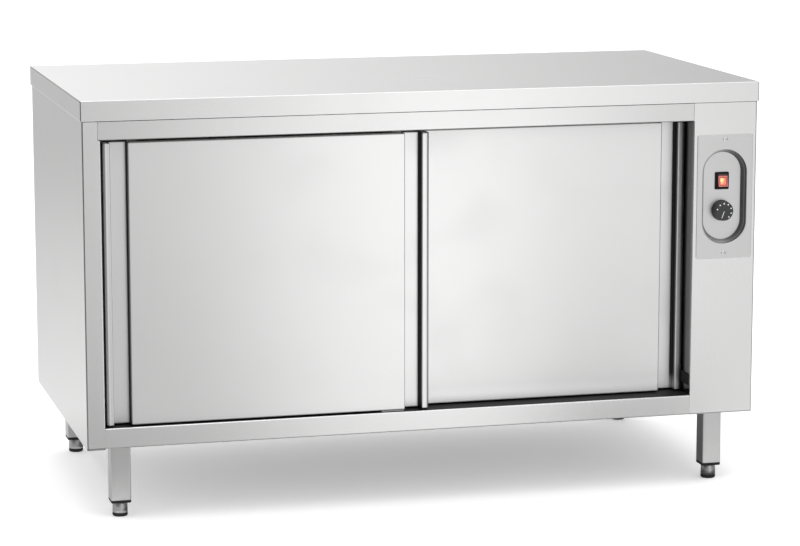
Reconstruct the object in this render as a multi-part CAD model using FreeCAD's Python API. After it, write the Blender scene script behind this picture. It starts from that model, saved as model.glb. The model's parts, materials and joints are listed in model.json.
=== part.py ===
import FreeCAD, Part
import math
import os

os.makedirs("parts", exist_ok=True)

# Heated plate cabinet, in millimetres: +Z up, doors towards -Y, origin on the floor under its centre.

# Overall size
width = 1400.0
depth = 700.0
height = 840.0
half_share = 0.5
full_turn = 360.0
rightward = 1

# Sheet stock
worktop_sheet = 1.5
sheet = 1.2
door_sheet = 1.0
bend_radius = 2.5
door_bend_radius = 1.6
lip_bend_radius = 5.5
flange = 20.0

# Worktop
worktop_edge = 40.0
worktop_lip = 16.0
worktop_corner_radius = 2.5
board_thickness = 18.0
board_clearance = 1.0
stiffener_width = 60.0
stiffener_place_share = 0.5

# Body
body_overhang = 3.0
ground_gap = 149.0
stile_drop = 2.0
stile_width = 36.5
stile_notch = 5.5
column_margin = 8.5
column_return = 55.0
top_rail_height = 38.0
bottom_rail_height = 41.0
rail_flange = 10.0
sill_margin = 16.0
wall_insulation = 30.0

# Legs and feet
leg_side = 40.0
leg_wall = 1.5
leg_round = 3.0
leg_inset_side = 55.0
leg_inset_front = 40.0
leg_plate_side = 70.0
leg_plate_thickness = 3.0
insert_flange = 6.0
insert_chamfer = 1.2
insert_plug = 20.0
foot_height = 29.0
foot_radius_low = 15.5
foot_radius_high = 14.5
foot_pad_height = 6.0
foot_pad_chamfer = 2.0
stem_radius = 5.0
stem_length = 56.0
running_gap = 0.05
channel_width = 60.0
channel_end_gap = 20.0

# Doors
door_front_setback = 9.0
door_thickness = 34.0
door_pass_gap = 4.0
door_top_gap = 6.5
door_bottom_gap = 3.5
left_door_gap = 4.5
right_door_gap = 2.0
door_overlap = 102.5
lip_width = 14.7
finger_width = 35.5
finger_depth = 20.0
hanger_bar_height = 5.0
guide_channel_height = 7.0
cut_clearance = 0.1
core_clearance = 1.0
web_centre_share = 0.5

# Hangers, rollers and track
hanger_inset = 61.0
hanger_width = 20.0
hanger_plate = 2.0
roller_radius = 11.0
roller_width = 8.0
roller_side_gap = 1.0
axle_radius = 4.0
axle_head_radius = 6.0
axle_head = 1.5
axle_head_gap = 0.5
seat_gap = 0.3
track_height = 32.0
track_width = 35.0
track_slot = 8.0
track_lip = 2.0
track_end_gap = 0.6

# Bottom guide
guide_centre_share = 0.265
guide_length = 46.0
guide_base = 2.7
guide_fin_gap = 0.6
guide_fin_head = 1.0

# Buffers
buffer_height = 24.0
buffer_rise = 20.0

# Control plate
plate_margin_side = 12.25
plate_margin_tall = 30.25
plate_thickness = 1.5
plate_corner = 4.0
plate_rise_share = 0.70
bowl_width = 95.5
bowl_height = 195.5
bowl_depth = 18.0
bowl_step_depth = 7.0
bowl_step = 2.2
bowl_taper = 1.3
bowl_floor_taper = 3.0
bowl_rim_round = 1.5
bowl_step_round = 0.8
bowl_floor_round = 2.5
column_hole_margin = 2.6
plate_screw_inset = 10.0

# Panel screws
screw_head_radius = 5.0
screw_head_height = 1.4
screw_head_round = 0.9
screw_radius = 2.0
screw_length = 8.0
back_screw_count = 4

# Rocker switch
switch_rise = 31.0
bezel_width = 30.0
bezel_height = 36.0
bezel_thickness = 2.0
bezel_round = 2.0
collar_wall = 1.5
collar_height = 4.0
rocker_width = 20.4
rocker_height = 26.0
rocker_side_gap = 0.3
rocker_end_gap = 1.2
rocker_edge_rise = 9.0
rocker_dip = 1.6
rocker_back = 3.0
rocker_tilt = 8.0
rocker_pin_radius = 1.5
switch_body_depth = 25.0
switch_body_width = 24.4
switch_body_height = 30.0

# Knob and thermostat
knob_drop = 30.5
knob_radius_low = 21.5
knob_radius_high = 20.0
knob_height = 18.0
knob_gap = 0.5
knob_round = 1.0
spindle_radius = 3.0
spindle_length = 30.0
spindle_hole_radius = 4.0
thermostat_side = 44.0
thermostat_depth = 35.0
spindle_end_gap = 2.0

# Capillary and bulb
capillary_radius = 1.2
capillary_bend = 6.0
capillary_back_run = 64.0
capillary_hole_radius = 3.0
bulb_radius = 3.5
bulb_length = 95.0
bulb_lead = 30.0
bulb_wall_gap = 3.0

# Fan, heater and motor
fan_centre_share = 0.53
fan_rise_share = 0.30
fan_box_side = 250.0
fan_box_depth = 61.0
fan_box_flange = 15.0
impeller_radius = 75.0
impeller_width = 28.0
impeller_plate = 2.0
impeller_blades = 14
impeller_blade_length = 22.0
impeller_blade_thickness = 1.5
impeller_stand = 12.0
hub_radius = 12.0
shaft_radius = 4.0
shaft_hole_radius = 6.0
shaft_engage = 20.0
motor_radius = 40.0
motor_length = 55.0
motor_round = 4.0
motor_foot_radius = 52.0
motor_foot = 3.0
ring_radius = 96.0
ring_tube_radius = 3.2
ring_gap_angle = 24.0
ring_leg_clearance = 0.2
ring_leg_end = 18.0
suction_slots = 7
suction_radius = 62.0
slot_width = 9.0
outlet_slots = 8
outlet_slot_length = 12.0
outlet_margin = 22.0

# Terminal block, gland and vents
terminal_depth = 24.0
terminal_length = 70.0
terminal_height = 30.0
terminal_rise = 60.0
terminal_gap = 11.0
terminal_posts = 5
terminal_post_radius = 3.0
terminal_post_depth = 6.0
gland_setback = 150.0
gland_side_gap = 17.0
gland_hex_radius = 12.0
gland_hex_sides = 6
gland_hex_height = 6.0
gland_thread_radius = 8.0
gland_bore_radius = 4.5
gland_dome_radius = 9.5
gland_dome_height = 16.0
gland_dome_round = 3.0
gland_hole_clearance = 0.1
vent_count = 6
vent_length = 80.0
vent_height = 5.0
vent_pitch = 18.0
vent_rise_share = 0.28

# Shelf
shelf_rise_share = 0.50
shelf_fold = 25.0
shelf_side_gap = 17.0
shelf_end_gap = 15.0
shelf_bend_radius = 2.4
rack_width = 30.0
rack_depth = 12.0
rack_bottom_gap = 10.0
rack_top_gap = 20.0
rack_inset = 60.0
rack_strap_height = 20.0
rack_slots = 13
rack_slot_width = 12.0
rack_slot_height = 4.0
rack_slot_pitch = 40.0
rack_first_slot = 35.0
clip_reach = 17.0
clip_width = 10.0
clip_thickness = 3.0
clip_tail = 6.0
clip_lip = 3.0
clip_slot_gap = 0.1

# Places that follow from the sizes above
body_left = body_overhang - width * half_share
body_right = -body_left
body_front = body_overhang - depth * half_share
body_back = -body_front
body_top = height - worktop_edge
body_bottom = ground_gap
plate_width = bowl_width + plate_margin_side + plate_margin_side
plate_height = bowl_height + plate_margin_tall + plate_margin_tall
column_width = plate_width + column_margin + column_margin
open_left = body_left + stile_width
open_right = body_right - column_width
open_top = body_top - top_rail_height
open_bottom = body_bottom + stile_drop - sheet + bottom_rail_height
rail_bottom = body_bottom + sheet
panel_bottom = rail_bottom - stile_drop
inner_left = body_left + sheet
inner_right = body_right - sheet
inner_front = body_front + sheet
inner_back = body_back - sheet
bend_room = bend_radius - sheet
base_low = rail_bottom + sheet
base_high = base_low + sheet
sill_under = open_bottom - sheet
cover_low = body_top - sheet - sheet
liner_back = inner_back - sheet - wall_insulation
sill_depth = door_front_setback + door_thickness + door_pass_gap + door_thickness + sill_margin
ceiling_front = body_front + sill_depth - sheet
partition_right = open_right + sheet

door_front = body_front + door_front_setback
door_back = door_front + door_thickness
rear_door_front = door_back + door_pass_gap
rear_door_back = rear_door_front + door_thickness
door_low = open_bottom + door_bottom_gap
door_high = open_top - door_top_gap
left_door_left = open_left + left_door_gap
right_door_right = open_right - right_door_gap
door_width = (right_door_right - left_door_left + door_overlap) * half_share
right_door_left = right_door_right - door_width
web_setback = finger_depth + door_sheet + cut_clearance
web_depth = door_thickness - door_sheet - cut_clearance - web_setback
hanger_back = web_setback + web_depth * web_centre_share
guide_low = open_bottom

track_low = cover_low - track_height
lip_high = track_low + track_lip
axle_height = lip_high + seat_gap + roller_radius

column_centre = (open_right + body_right) * half_share
plate_centre = panel_bottom + plate_rise_share * (body_top - panel_bottom)
plate_front = body_front - plate_thickness
bowl_floor_front = plate_front + bowl_depth
bowl_floor_back = bowl_floor_front + plate_thickness
switch_height = plate_centre + switch_rise
knob_centre = plate_centre - knob_drop

leg_left = body_left - body_overhang + leg_inset_side + leg_side * half_share
leg_right = -leg_left
leg_front = leg_inset_front - depth * half_share + leg_side * half_share
leg_back = -leg_front
leg_low = foot_height + insert_flange
leg_places = {
    "front_left": (leg_left, leg_front),
    "front_right": (leg_right, leg_front),
    "back_left": (leg_left, leg_back),
    "back_right": (leg_right, leg_back),
}

fan_y = ceiling_front + fan_centre_share * (liner_back - ceiling_front)
fan_z = open_bottom + fan_rise_share * (open_top - open_bottom)
fan_box_right = partition_right + fan_box_depth

shelf_high = open_bottom + shelf_rise_share * (open_top - open_bottom)
shelf_low = shelf_high - shelf_fold
shelf_front = ceiling_front + shelf_end_gap
shelf_back = liner_back - shelf_end_gap


def vec(x, y, z):
    return FreeCAD.Vector(x, y, z)


def box(x_low, x_high, y_low, y_high, z_low, z_high):
    return Part.makeBox(x_high - x_low, y_high - y_low, z_high - z_low, vec(x_low, y_low, z_low))


def along_y(radius, x, z, y_low, y_high):
    return Part.makeCylinder(radius, y_high - y_low, vec(x, y_low, z), vec(0, sheet, 0))


def along_x(radius, y, z, x_low, x_high):
    return Part.makeCylinder(radius, x_high - x_low, vec(x_low, y, z), vec(sheet, 0, 0))


def along_z(radius, x, y, z_low, z_high):
    return Part.makeCylinder(radius, z_high - z_low, vec(x, y, z_low))


def round_edges(shape, direction, radius):
    """Rounds the straight edges that run along one direction."""
    chosen = []
    for edge in shape.Edges:
        run = edge.Vertexes[-1].Point - edge.Vertexes[0].Point
        if run.Length > 0 and abs(run.normalize().dot(direction)) > half_share + half_share * half_share:
            chosen.append(edge)
    return shape.makeFillet(radius, chosen)


def join(pieces):
    whole = pieces[0]
    for piece in pieces[1:]:
        whole = whole.fuse(piece)
    return whole.removeSplitter()


def cut_all(shape, tools):
    for tool in tools:
        shape = shape.cut(tool)
    return shape


def bent_path(points, radii):
    """The edges of a path through 2D points, with an arc of its own radius at each inner point."""
    edges = []
    start = points[0]
    for here, before, after, radius in zip(points[1:-1], points[:-2], points[2:], radii):
        go_in = (here - before).normalize()
        go_out = (after - here).normalize()
        turn = go_in.getAngle(go_out)
        reach = radius * math.tan(turn * half_share)
        first = here - go_in * reach
        last = here + go_out * reach
        inward = (go_out - go_in).normalize()
        middle = here + inward * (radius / math.cos(turn * half_share) - radius)
        edges.append(Part.LineSegment(start, first).toShape())
        edges.append(Part.Arc(first, middle, last).toShape())
        start = last
    edges.append(Part.LineSegment(start, points[-1]).toShape())
    return edges


def folded_sheet(points, thickness, radii, normal, extrusion):
    """A folded strip: the sheet lies to the left of the path, seen with the normal towards the viewer."""
    lefts = []
    for first, last in zip(points[:-1], points[1:]):
        lefts.append(normal.cross((last - first).normalize()))
    offset = [points[0] + lefts[0] * thickness]
    near_radii = []
    far_radii = []
    for here, before, after, radius in zip(points[1:-1], lefts[:-1], lefts[1:], radii):
        spread = before + after
        offset.append(here + spread * (thickness / before.dot(spread)))
        turns_left = normal.dot(before.cross(after)) > 0
        near_radii.append(radius if turns_left else radius - thickness)
        far_radii.append(radius - thickness if turns_left else radius)
    offset.append(points[-1] + lefts[-1] * thickness)
    near = bent_path(points, near_radii)
    far = bent_path(offset, far_radii)
    ends = [
        Part.LineSegment(points[-1], offset[-1]).toShape(),
        Part.LineSegment(offset[0], points[0]).toShape(),
    ]
    wire = Part.Wire(Part.__sortEdges__(near + far + ends))
    return Part.Face(wire).extrude(extrusion)


def same_radius(points, radius):
    return [radius for _ in points[1:-1]]


def stadium(across, tall, x, y, z):
    """A wire with round ends and straight sides, upright in the plane at y."""
    radius = across * half_share
    straight = tall * half_share - radius
    top = vec(x, y, z + straight)
    foot = vec(x, y, z - straight)
    side = vec(radius, 0, 0)
    up = vec(0, 0, radius)
    return Part.Wire([
        Part.Arc(top - side, top + up, top + side).toShape(),
        Part.LineSegment(top + side, foot + side).toShape(),
        Part.Arc(foot + side, foot - up, foot - side).toShape(),
        Part.LineSegment(foot - side, top - side).toShape(),
    ])


def stadium_block(low, high):
    return Part.makeLoft([low, high], True, True)


def make_worktop():
    half_w = width * half_share
    half_d = depth * half_share
    up = vec(0, 0, height)
    pan = round_edges(
        box(-half_w, half_w, -half_d, half_d, body_top, height), up.normalize(), worktop_corner_radius)
    top_edges = [edge for edge in pan.Edges if edge.BoundBox.ZMin > height - worktop_sheet]
    pan = pan.makeFillet(worktop_sheet, top_edges)
    in_w = half_w - worktop_sheet
    in_d = half_d - worktop_sheet
    hollow = box(-in_w, in_w, -in_d, in_d, body_top + worktop_sheet, height - worktop_sheet)
    mouth_w = in_w - worktop_lip
    mouth_d = in_d - worktop_lip
    mouth = box(-mouth_w, mouth_w, -mouth_d, mouth_d, body_top, body_top + worktop_sheet)
    return cut_all(pan, [hollow, mouth])


def make_worktop_board():
    half_w = width * half_share - worktop_sheet - board_clearance
    half_d = depth * half_share - worktop_sheet - board_clearance
    high = height - worktop_sheet
    return box(-half_w, half_w, -half_d, half_d, high - board_thickness, high)


def make_worktop_stiffeners():
    half_w = width * half_share - worktop_sheet - board_clearance
    low = body_top + worktop_sheet
    high = height - worktop_sheet - board_thickness
    channels = []
    for side in (-half_share, half_share):
        middle = side * depth * stiffener_place_share
        front = middle - stiffener_width * half_share
        back = middle + stiffener_width * half_share
        corners = ((front, high), (front, low), (back, low), (back, high))
        points = [vec(-half_w, y, z) for y, z in corners]
        radii = same_radius(points, bend_radius)
        channels.append(
            folded_sheet(points, sheet, radii, vec(sheet, 0, 0).normalize(), vec(half_w + half_w, 0, 0)))
    return Part.makeCompound(channels)


def upright_fold(points, z_low, z_high):
    flat = [vec(x, y, z_low) for x, y in points]
    radii = same_radius(flat, bend_radius)
    return folded_sheet(flat, sheet, radii, vec(0, 0, sheet).normalize(), vec(0, 0, z_high - z_low))


def make_left_side_panel():
    back = [(body_left + flange, body_back), (body_left, body_back), (body_left, body_front)]
    stile = back + [(open_left, body_front)]
    narrow = back + [(open_left - stile_notch, body_front)]
    returned = stile + [(open_left, body_front + flange)]
    pieces = [
        upright_fold(stile, panel_bottom, open_bottom),
        upright_fold(returned, open_bottom, open_top),
        upright_fold(narrow, open_top, body_top),
        box(inner_left, body_left + flange, inner_front, inner_back, rail_bottom, base_low),
        box(inner_left, body_left + flange, inner_front, inner_back, body_top - sheet, body_top),
    ]
    return join(pieces)


def make_right_side_panel():
    back = [(body_right, body_back), (body_right - flange, body_back)]
    plain = [(open_right, body_front), (body_right, body_front)] + back
    returned = [(open_right, body_front + column_return)] + plain
    pieces = [
        upright_fold(plain, rail_bottom, open_bottom),
        upright_fold(returned, open_bottom, open_top),
        upright_fold(plain, open_top, body_top),
        box(body_right - flange, inner_right, inner_front, inner_back, rail_bottom, base_low),
        box(body_right - flange, inner_right, inner_front, inner_back, body_top - sheet, body_top),
    ]
    hole_w = bowl_width + column_hole_margin + column_hole_margin
    hole_h = bowl_height + column_hole_margin + column_hole_margin
    hole = stadium_block(
        stadium(hole_w, hole_h, column_centre, body_front - sheet, plate_centre),
        stadium(hole_w, hole_h, column_centre, inner_front + sheet, plate_centre),
    )
    holes = [hole]
    for rise in plate_screw_heights():
        holes.append(along_y(screw_radius, column_centre, rise, body_front - sheet, inner_front + sheet))
    return cut_all(join(pieces), holes)


def plate_screw_heights():
    reach = plate_height * half_share - plate_screw_inset
    return (plate_centre - reach, plate_centre + reach)


def side_fold(points, radius, x_low, x_high):
    """A fold drawn in the plane across the cabinet and run along its width."""
    flat = [vec(x_low, y, z) for y, z in points]
    radii = same_radius(flat, radius)
    return folded_sheet(flat, sheet, radii, vec(-sheet, 0, 0).normalize(), vec(x_high - x_low, 0, 0))


def make_top_front_rail():
    points = [
        (body_front + rail_flange, open_top),
        (body_front, open_top),
        (body_front, body_top),
        (body_front + flange, body_top),
    ]
    rail = side_fold(points, bend_radius, open_left - stile_notch, open_right)
    corner = box(
        open_left - stile_notch, open_left, inner_front, body_front + flange, open_top, body_top)
    return rail.cut(corner)


def make_bottom_front_rail():
    points = [
        (body_front + flange, rail_bottom),
        (body_front, rail_bottom),
        (body_front, open_bottom),
        (body_front + sill_depth, open_bottom),
    ]
    return side_fold(points, bend_radius, open_left, open_right)


def make_back_panel():
    left_edge = inner_left + bend_room
    panel = box(left_edge, -left_edge, inner_back - sheet, inner_back, base_high, cover_low)
    holes = []
    first = base_high + vent_rise_share * (cover_low - base_high)
    for number in range(vent_count):
        low = first + number * vent_pitch
        left = column_centre - vent_length * half_share
        holes.append(
            box(left, left + vent_length, inner_back - sheet, inner_back, low, low + vent_height))
    for x, z in back_screw_places():
        holes.append(along_y(screw_radius, x, z, inner_back - sheet, inner_back))
    return cut_all(panel, holes)


def back_screw_places():
    places = []
    span = cover_low - base_high
    for x in (body_left + flange * half_share, body_right - flange * half_share):
        for number in range(back_screw_count):
            places.append((x, base_high + span * (number + half_share) / back_screw_count))
    return places


def pan_screw(x, z, y_face, outward):
    """A pan-head screw whose head stands on the face at y and whose shank runs inwards."""
    head = Part.makeCylinder(screw_head_radius, screw_head_height, vec(x, y_face, z), vec(0, outward, 0))
    rim = [edge for edge in head.Edges if edge.BoundBox.YLength < cut_clearance
           and abs(edge.BoundBox.Center.y - y_face) > screw_head_height * half_share]
    head = head.makeFillet(screw_head_round, rim)
    shank = Part.makeCylinder(screw_radius, screw_length, vec(x, y_face, z), vec(0, -outward, 0))
    return head.fuse(shank)


def make_panel_screws():
    screws = []
    for x, z in back_screw_places():
        screws.append(pan_screw(x, z, body_back, sheet))
    for z in plate_screw_heights():
        screws.append(pan_screw(column_centre, z, plate_front, -sheet))
    return Part.makeCompound(screws)


def drill_back_flange(panel):
    """The screw holes in the back flange of a side panel."""
    for x, z in back_screw_places():
        panel = panel.cut(along_y(screw_radius, x, z, inner_back, body_back))
    return panel


def make_base_panel():
    left_edge = inner_left + bend_room
    panel = box(
        left_edge, -left_edge, inner_front + bend_room, inner_back - bend_room, base_low, base_high)
    x, y = gland_place()
    hole = along_z(gland_thread_radius + gland_hole_clearance, x, y, base_low, base_high)
    return panel.cut(hole)


def make_base_channels():
    channels = []
    for x in (leg_left, leg_right):
        left = x - channel_width * half_share
        right = x + channel_width * half_share
        front = inner_front + channel_end_gap
        back = liner_back
        flat = [vec(left, front, base_high), vec(left, front, sill_under), vec(right, front, sill_under),
                vec(right, front, base_high)]
        radii = same_radius(flat, bend_radius)
        channels.append(
            folded_sheet(flat, sheet, radii, vec(0, sheet, 0).normalize(), vec(0, back - front, 0)))
    return Part.makeCompound(channels)


def make_top_cover():
    left_edge = inner_left + bend_room
    front_edge = inner_front + bend_room
    return box(left_edge, -left_edge, front_edge, inner_back - bend_room, cover_low, cover_low + sheet)


def make_inner_left_wall():
    return box(open_left - sheet, open_left, body_front + flange, liner_back, sill_under, cover_low)


def make_partition_wall():
    wall = box(open_right, partition_right, body_front + column_return, liner_back, base_high, cover_low)
    holes = []
    for number in range(suction_slots):
        place = (number + half_share) / suction_slots - half_share
        offset = place * (suction_radius + suction_radius)
        reach = math.sqrt(suction_radius * suction_radius - offset * offset)
        y_low = fan_y + offset - slot_width * half_share
        holes.append(
            box(open_right, partition_right, y_low, y_low + slot_width, fan_z - reach, fan_z + reach))
    half_box = fan_box_side * half_share
    pitch = (fan_box_side - outlet_margin - outlet_margin) / outlet_slots
    for number in range(outlet_slots):
        centre = fan_y - half_box + outlet_margin + pitch * (number + half_share)
        y_low = centre - slot_width * half_share
        for z_low in (fan_z - half_box + slot_width, fan_z + half_box - slot_width - outlet_slot_length):
            holes.append(
                box(open_right, partition_right, y_low, y_low + slot_width, z_low,
                z_low + outlet_slot_length))
    x, y, z = bulb_start()
    holes.append(along_x(capillary_hole_radius, y, z, open_right, partition_right))
    return cut_all(wall, holes)


def make_inner_back_wall():
    return box(open_left - sheet, partition_right, liner_back, liner_back + sheet, base_high, cover_low)


def make_inner_floor():
    return box(open_left, open_right, body_front + sill_depth, liner_back, sill_under, open_bottom)


def make_inner_ceiling():
    points = [
        (liner_back, open_top),
        (ceiling_front, open_top),
        (ceiling_front, cover_low),
    ]
    return side_fold(points, bend_radius, open_left, open_right)


def make_insulation():
    left = box(inner_left, open_left - sheet, body_front + flange, liner_back, base_high, cover_low)
    slab_back = inner_back - sheet
    back = box(body_left + flange, partition_right, liner_back + sheet, slab_back, base_high, cover_low)
    inside = ceiling_front + bend_radius
    top = box(open_left, open_right, inside, liner_back, open_top + sheet, cover_low)
    slab_left = leg_left + channel_width * half_share
    floor = box(slab_left, open_right, inside, liner_back, base_high, sill_under)
    return Part.makeCompound([left, back, top, floor])


def hanger_plane(front):
    return front + hanger_back


def make_door_track():
    left = open_left + track_end_gap
    right = open_right - track_end_gap
    half_track = track_width * half_share
    planes = (hanger_plane(door_front), hanger_plane(rear_door_front))
    web = box(
        left, right, planes[0] - half_track, planes[-1] + half_track, cover_low - worktop_sheet,
        cover_low)
    pieces = [web]
    for plane in planes:
        front = plane - half_track
        back = plane + half_track
        pieces.append(box(left, right, front, front + worktop_sheet, track_low, cover_low))
        pieces.append(box(left, right, back - worktop_sheet, back, track_low, cover_low))
        pieces.append(box(left, right, front, plane - track_slot * half_share, track_low, lip_high))
        pieces.append(box(left, right, plane + track_slot * half_share, back, track_low, lip_high))
    return join(pieces)


def guide_span():
    centre = right_door_left + door_overlap * guide_centre_share
    return (centre - guide_length * half_share, centre + guide_length * half_share)


def make_bottom_door_guide():
    left, right = guide_span()
    front = door_front + core_clearance
    base_high_level = guide_low + guide_base
    base = box(left, right, front, rear_door_back + core_clearance, guide_low, base_high_level)
    pieces = [base]
    inner_half = web_depth * half_share - sheet - guide_fin_gap
    fin_high = door_low + guide_channel_height - sheet - guide_fin_head
    for plane in (hanger_plane(door_front), hanger_plane(rear_door_front)):
        pieces.append(
            box(left, right, plane - inner_half, plane + inner_half, base_high_level, fin_high))
    return join(pieces)


def make_door_buffers():
    low = open_bottom + buffer_rise
    high = low + buffer_height
    front = door_front + core_clearance
    back = rear_door_back - core_clearance
    left = box(open_left, left_door_left - seat_gap, body_front + flange, back, low, high)
    right = box(right_door_right + seat_gap, open_right, front, back, low, high)
    return Part.makeCompound([left, right])


def door_outline(left, front):
    right = left + door_width
    back = front + door_thickness
    floor = front + finger_depth
    lip_left = left + lip_width
    lip_right = right - lip_width
    panel_left = lip_left + finger_width
    panel_right = lip_right - finger_width
    points = [
        (left, back), (left, front), (lip_left, front), (lip_left, floor), (panel_left, floor),
        (panel_left, front), (panel_right, front), (panel_right, floor), (lip_right, floor),
        (lip_right, front), (right, front), (right, back),
    ]
    radii = []
    for x, y in points[1:-1]:
        on_end = y == front and x in (left, right)
        radii.append(lip_bend_radius if on_end else door_bend_radius)
    return points, radii


def web_span(left, front):
    """Across and back extent of the bars that close the door's top and bottom."""
    return (left + door_sheet + cut_clearance, left + door_width - door_sheet - cut_clearance,
            front + web_setback, front + web_setback + web_depth)


def make_door_skin(left, front):
    points, radii = door_outline(left, front)
    flat = [vec(x, y, door_low) for x, y in points]
    up = vec(0, 0, door_high - door_low)
    return folded_sheet(flat, door_sheet, radii, vec(0, 0, sheet).normalize(), up)


def make_door_back(left, front):
    back = front + door_thickness
    right = left + door_width
    return box(left + door_sheet, right - door_sheet, back - door_sheet, back, door_low, door_high)


def make_door_core(left, front):
    side = lip_width + finger_width + door_sheet + core_clearance
    low = door_low + guide_channel_height + core_clearance
    high = door_high - hanger_bar_height - core_clearance
    return box(
        left + side, left + door_width - side, front + door_sheet,
        front + door_thickness - door_sheet, low, high)


def hanger_places(left):
    return (left + hanger_inset, left + door_width - hanger_inset)


def make_door_hanger_bar(left, front):
    x_low, x_high, y_low, y_high = web_span(left, front)
    pieces = [box(x_low, x_high, y_low, y_high, door_high - hanger_bar_height, door_high)]
    plane = hanger_plane(front)
    half_plate = hanger_plate * half_share
    half_width = hanger_width * half_share
    pin_end = plane + half_plate + roller_side_gap + roller_width + axle_head_gap
    for x in hanger_places(left):
        plate = box(
            x - half_width, x + half_width, plane - half_plate, plane + half_plate, door_high,
            axle_height)
        crown = along_y(half_width, x, axle_height, plane - half_plate, plane + half_plate)
        pin = along_y(axle_radius, x, axle_height, plane - half_plate, pin_end)
        head = along_y(axle_head_radius, x, axle_height, pin_end, pin_end + axle_head)
        pieces.extend([plate, crown, pin, head])
    return join(pieces)


def make_door_bottom_channel(left, front):
    x_low, x_high, y_low, y_high = web_span(left, front)
    high = door_low + guide_channel_height
    bar = box(x_low, x_high, y_low, y_high, door_low, high)
    return bar.cut(box(x_low, x_high, y_low + sheet, y_high - sheet, door_low, high - sheet))


def make_roller(x, front):
    plane = hanger_plane(front)
    near = plane + hanger_plate * half_share + roller_side_gap
    tyre = along_y(roller_radius, x, axle_height, near, near + roller_width)
    tyre = tyre.makeChamfer(axle_head_gap, rim_edges(tyre, roller_radius))
    return tyre.cut(along_y(axle_radius + running_gap, x, axle_height, near, near + roller_width))


def rim_edges(shape, radius):
    """The full circles of one radius."""
    chosen = []
    for edge in shape.Edges:
        if edge.Curve.TypeId == "Part::GeomCircle" and abs(edge.Curve.Radius - radius) < cut_clearance:
            chosen.append(edge)
    return chosen


def bowl_edges(shape, y):
    """The bowl's long edges that lie in one plane across its depth."""
    reach = bowl_width * half_share + cut_clearance
    chosen = []
    for edge in shape.Edges:
        span = edge.BoundBox
        flat = abs(span.YMin - y) < cut_clearance and abs(span.YMax - y) < cut_clearance
        if flat and abs(span.XMin - column_centre) < reach and edge.Length > bowl_width:
            chosen.append(edge)
    return chosen


def make_control_plate():
    half_w = plate_width * half_share
    half_h = plate_height * half_share
    plate = box(column_centre - half_w, column_centre + half_w, plate_front, body_front,
                plate_centre - half_h, plate_centre + half_h)
    plate = round_edges(plate, vec(0, sheet, 0).normalize(), plate_corner)

    def ring(inset, y, growth):
        grow = growth + growth - inset - inset
        return stadium(bowl_width + grow, bowl_height + grow, column_centre, y, plate_centre)

    step_front = plate_front + bowl_step_depth
    ledge = bowl_taper + bowl_step
    floor_inset = ledge + bowl_floor_taper
    thick = plate_thickness
    outer = join([
        stadium_block(ring(0, plate_front, thick), ring(bowl_taper, step_front + thick, thick)),
        stadium_block(ring(ledge, step_front + thick, thick), ring(floor_inset, bowl_floor_back, thick)),
    ])
    inner = join([
        stadium_block(ring(0, plate_front, 0), ring(bowl_taper, step_front, 0)),
        stadium_block(ring(ledge, step_front, 0), ring(floor_inset, bowl_floor_front, 0)),
    ])
    body = join([plate, outer]).cut(inner)
    rounds = (
        (plate_front, bowl_rim_round), (step_front, bowl_step_round), (bowl_floor_front, bowl_floor_round))
    for y, radius in rounds:
        body = body.makeFillet(radius, bowl_edges(body, y))
    holes = [along_y(spindle_hole_radius, column_centre, knob_centre, bowl_floor_front, bowl_floor_back)]
    half_cut_w = switch_body_width * half_share
    half_cut_h = switch_body_height * half_share
    cut_left = column_centre - half_cut_w
    cut_low = switch_height - half_cut_h
    holes.append(box(
        cut_left, column_centre + half_cut_w, bowl_floor_front, bowl_floor_back,
        cut_low, switch_height + half_cut_h))
    for rise in plate_screw_heights():
        holes.append(along_y(screw_radius, column_centre, rise, plate_front, body_front))
    return cut_all(body, holes)


def make_switch_housing():
    def block(across, tall, y_low, y_high):
        half_w = across * half_share
        half_h = tall * half_share
        return box(column_centre - half_w, column_centre + half_w, y_low, y_high,
                   switch_height - half_h, switch_height + half_h)

    cavity_w = rocker_width + rocker_side_gap + rocker_side_gap
    cavity_h = rocker_height + rocker_end_gap + rocker_end_gap
    bezel_front = bowl_floor_front - bezel_thickness
    collar_front = bezel_front - collar_height
    bezel = round_edges(block(bezel_width, bezel_height, bezel_front, bowl_floor_front),
                        vec(0, sheet, 0).normalize(), bezel_round)
    collar = block(
        cavity_w + collar_wall + collar_wall, cavity_h + collar_wall + collar_wall, collar_front,
        bezel_front)
    neck = block(
        switch_body_width, switch_body_height, bowl_floor_front, bowl_floor_back + switch_body_depth)
    cavity = block(cavity_w, cavity_h, collar_front, rocker_pivot() + rocker_height * half_share)
    pin = along_x(rocker_pin_radius + running_gap, rocker_pivot(), switch_height,
                  column_centre - cavity_w, column_centre + cavity_w)
    front, back = rocker_pivot() - bezel_height, rocker_pivot() + bezel_height
    pin_bore = pin.common(block(rocker_pin_span(), bezel_height, front, back))
    return cut_all(join([bezel, collar, neck]), [cavity, pin_bore])


def rocker_pivot():
    return bowl_floor_front - half_share


def rocker_pin_span():
    return rocker_width + rocker_side_gap + rocker_side_gap + collar_wall


def make_switch_rocker():
    """The rocker in its on position, with its upper end pressed in."""
    half_h = rocker_height * half_share
    left = column_centre - rocker_width * half_share
    pivot = vec(left, rocker_pivot(), switch_height)
    rise = rocker_edge_rise
    points = [
        vec(0, rocker_back, -half_h), vec(0, -rise, -half_h), vec(0, rocker_dip - rise, 0),
        vec(0, -rise, half_h), vec(0, rocker_back, half_h), vec(0, rocker_back, -half_h),
    ]
    wire = Part.makePolygon([pivot + point for point in points])
    rocker = Part.Face(wire).extrude(vec(rocker_width, 0, 0))
    span = rocker_pin_span() - running_gap - running_gap
    pin = along_x(rocker_pin_radius, rocker_pivot(), switch_height, column_centre - span * half_share,
                  column_centre + span * half_share)
    rocker = join([rocker, pin])
    rocker.rotate(pivot, vec(sheet, 0, 0), -rocker_tilt)
    return rocker


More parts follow.
